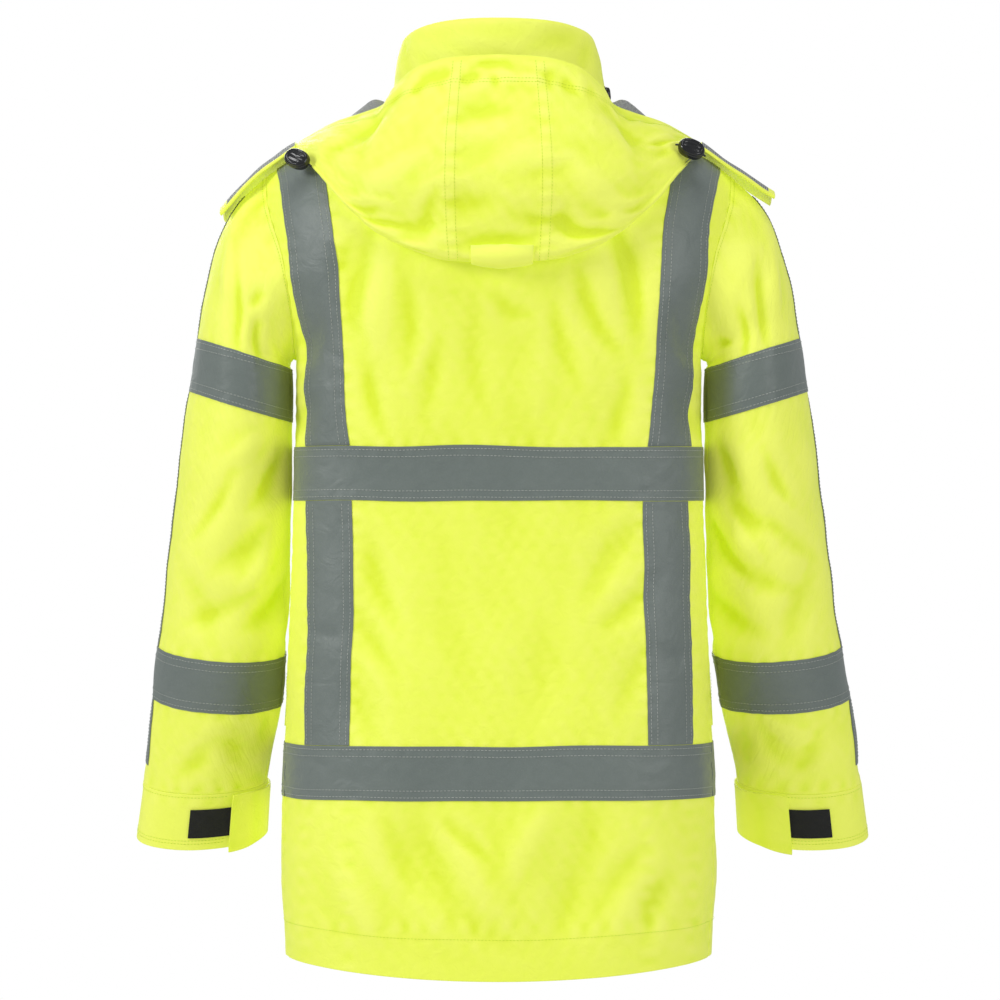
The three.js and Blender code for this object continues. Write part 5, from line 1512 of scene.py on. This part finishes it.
class PARKA_OT_threads(bpy.types.Operator):
    """All the stitching, on tape and on cloth"""
    bl_idname = "parka.threads"
    bl_label = "Stitching"

    def execute(self, context):
        near, far = size("edge_stitch"), size("inner_stitch")
        on_tape = size("tape_lift") + size("tape_wall") + 0.05
        insets = (near, far, TAPE_WIDTH - far, TAPE_WIDTH - near)
        waist, hem = BAND_TOPS["waist"], BAND_TOPS["hem"]
        back, front = torso_surface("back"), torso_surface("front")
        across = np.linspace(-3.98, 3.98, 400)
        tape = []
        for top in (waist, hem):
            for inset in insets:
                tape.append(path_on(back, across, row_at(top - inset), on_tape))
                for mirror in (1, -1):
                    half = mirror * np.linspace(0.05, 3.98, 240)
                    tape.append(path_on(front, half, row_at(top - inset), on_tape))
        high = np.linspace(row_at(waist + 1), 1.999, 200)
        low = np.linspace(row_at(hem + 1), row_at(waist - TAPE_WIDTH - 1), 150)
        for mirror in (1, -1):
            for inset in insets:
                column = mirror * (2 + inset / TAPE_WIDTH)
                tape.append(path_on(back, column, high, on_tape))
                tape.append(path_on(front, column, high, on_tape))
                tape.append(path_on(back, column, low, on_tape))
        for name in ("left", "right"):
            form = sleeve_surface(name)
            ring = np.linspace(-7.99, 7.99, 320)
            for top in (UPPER_BAND, LOWER_BAND):
                for inset in insets:
                    tape.append(path_on(form, ring, top + inset, on_tape))
            for start, end in ((STRIPE_START + 2, UPPER_BAND - 2),
                               (UPPER_BAND + TAPE_WIDTH + 2, LOWER_BAND - 2),
                               (LOWER_BAND + TAPE_WIDTH + 2, STRIPE_END - 2)):
                for column in (-0.9, -0.63, 0.63, 0.9):
                    tape.append(path_on(form, column, np.linspace(start, end, 120), on_tape))
        thread_piece("tape_stitching", tape, finish("tape_thread"), "tape", pitch=3.5, gap=0.7,
                     width=0.55, rise=0.42)
        on_cloth = 0.05
        seams = [path_on(back, across, row_at(HEM_STITCH), on_cloth)]
        for mirror in (1, -1):
            half = mirror * np.linspace(0.3, 3.98, 240)
            seams.append(path_on(front, half, row_at(HEM_STITCH), on_cloth))
            for column in (0.43, 0.36):
                seams.append(path_on(front, mirror * column, np.linspace(0.004, 1.99, 300), on_cloth))
            rows = np.linspace(row_at(POCKET_LOW + 2), row_at(POCKET_TOP - 2), 40)
            for column in (POCKET_SIDE - 0.03, POCKET_FRONT + 0.03):
                seams.append(path_on(front, mirror * column, rows, 2 * FLAP_CLOTH))
        rows = np.linspace(0.1, 5.6, 160)
        for u in (-0.211, -0.172, 0.172, 0.211):
            seams.append(path_on(hood_form, u, rows, on_cloth))
        for w in (0.6, 0.68):
            seams.append(path_on(hood_form, np.linspace(-0.97, 0.97, 240), w, on_cloth))
        for name in ("left", "right"):
            form = cuff_surface(name)
            for at in (CUFF_SEAM + 3.5, CUFF_END - 6, CUFF_END - 9):
                seams.append(path_on(form, np.linspace(226, 476, 200), at, 0.25))
            form = sleeve_surface(name)
            seams.append(path_on(form, np.linspace(-7.98, 7.98, 240), 5.0, on_cloth))
        seams.append(path_on(collar_form, np.linspace(-174, 174, 300), 0.12, on_cloth))
        thread_piece("cloth_stitching", seams, finish("yellow_thread_painted_seam_shade"), "shell", pitch=3.3, gap=0.8,
                     width=0.55, rise=0.3)
        return {"FINISHED"}


def area_light(name, place, target, width, height, power):
    """A soft box at a place, turned to a target."""
    lamp = bpy.data.lights.new(name, "AREA")
    lamp.shape = "RECTANGLE"
    lamp.size, lamp.size_y, lamp.energy = width, height, power
    holder = bpy.data.objects.new(name, lamp)
    holder.location = place
    away = np.array(place) - np.array(target)
    tilt = math.acos(away[2] / np.linalg.norm(away))
    holder.rotation_mode = "XYZ"
    holder.rotation_euler = (tilt, 0, math.atan2(away[1], away[0]) + math.pi / 2)
    bpy.context.scene.collection.objects.link(holder)


class PARKA_OT_stage(bpy.types.Operator):
    """Camera, lights, white surround and pale floor"""
    bl_idname = "parka.stage"
    bl_label = "Stage"

    def execute(self, context):
        scene = context.scene
        distance, height, shift, seen_width = 5.0, -0.3744, -0.00144, 0.96
        lens = bpy.data.cameras.new("camera")
        lens.sensor_width = 36
        lens.lens = 36 * distance / seen_width
        camera = bpy.data.objects.new("camera", lens)
        camera.location = (shift, distance, height)
        camera.rotation_euler = (math.pi / 2, 0, math.pi)
        scene.collection.objects.link(camera)
        scene.camera = camera
        scene.view_settings.view_transform = "Standard"
        world = bpy.data.worlds.new("surround")
        world.use_nodes = True
        tree = world.node_tree
        seen = tree.nodes["Background"]
        seen.inputs["Color"].default_value = (1, 1, 1, 1)
        seen.inputs["Strength"].default_value = 1.0
        soft = node(tree, "ShaderNodeBackground", {"Color": (0.94, 0.97, 1.0, 1), "Strength": 0.38})
        path = node(tree, "ShaderNodeLightPath")
        shaders = {1: soft.outputs[0], 2: seen.outputs[0]}
        pick = node(tree, "ShaderNodeMixShader", {0: path.outputs["Is Camera Ray"], **shaders})
        tree.links.new(pick.outputs[0], tree.nodes["World Output"].inputs["Surface"])
        scene.world = world
        middle = (0, 0, -0.35)
        area_light("key", (2.8, 1.9, 1.1), middle, 1.1, 1.1, 54)
        area_light("fill", (-2.4, 2.4, 0.5), middle, 1.2, 1.6, 28)
        area_light("top", (0.1, 0.9, 2.4), middle, 1.2, 1.2, 22)
        area_light("front", (0.6, -3.2, 1.0), middle, 2.0, 2.0, 60)
        mesh = bpy.data.meshes.new("floor")
        corners, radius, drop = 96, 3.2, -1.5
        turn = np.linspace(0, 2 * math.pi, corners + 1)[:-1]
        rim = np.stack((radius * np.cos(turn), radius * np.sin(turn), np.full(corners, drop)), axis=-1)
        mesh.from_pydata([tuple(p) for p in rim], [], [tuple(range(corners))])
        floor = bpy.data.objects.new("floor", mesh)
        pale = bpy.data.materials.new("pale_floor")
        pale.use_nodes = True
        shader = pale.node_tree.nodes["Principled BSDF"]
        shader.inputs["Base Color"].default_value = (0.86, 0.86, 0.85, 1)
        shader.inputs["Roughness"].default_value = 0.7
        mesh.materials.append(pale)
        scene.collection.objects.link(floor)
        return {"FINISHED"}


class PARKA_PT_panel(bpy.types.Panel):
    """The parka's pieces, sizes and colours"""
    bl_idname = "PARKA_PT_panel"
    bl_label = "Parka"
    bl_space_type = "VIEW_3D"
    bl_region_type = "UI"
    bl_category = "Parka"

    def draw(self, context):
        for settings in (context.scene.parka_sizes, context.scene.parka_looks):
            for name in settings.bl_rna.properties.keys():
                if name not in ("rna_type", "name"):
                    self.layout.prop(settings, name)
        for step in STEPS:
            self.layout.operator(step.bl_idname)


STEPS = (PARKA_OT_stage, PARKA_OT_body, PARKA_OT_body_tapes, PARKA_OT_sleeves, PARKA_OT_cuffs,
         PARKA_OT_collar, PARKA_OT_hood, PARKA_OT_locks, PARKA_OT_threads)
CLASSES = (ParkaSizes, ParkaLooks, *STEPS, PARKA_PT_panel)


def register():
    for made in CLASSES:
        bpy.utils.register_class(made)
    bpy.types.Scene.parka_sizes = bpy.props.PointerProperty(type=ParkaSizes)
    bpy.types.Scene.parka_looks = bpy.props.PointerProperty(type=ParkaLooks)


def unregister():
    del bpy.types.Scene.parka_looks
    del bpy.types.Scene.parka_sizes
    for made in reversed(CLASSES):
        bpy.utils.unregister_class(made)


def main():
    """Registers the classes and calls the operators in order."""
    register()
    for step in STEPS:
        section, name = step.bl_idname.split(".")
        getattr(getattr(bpy.ops, section), name)()


if __name__ == "__main__":
    main()
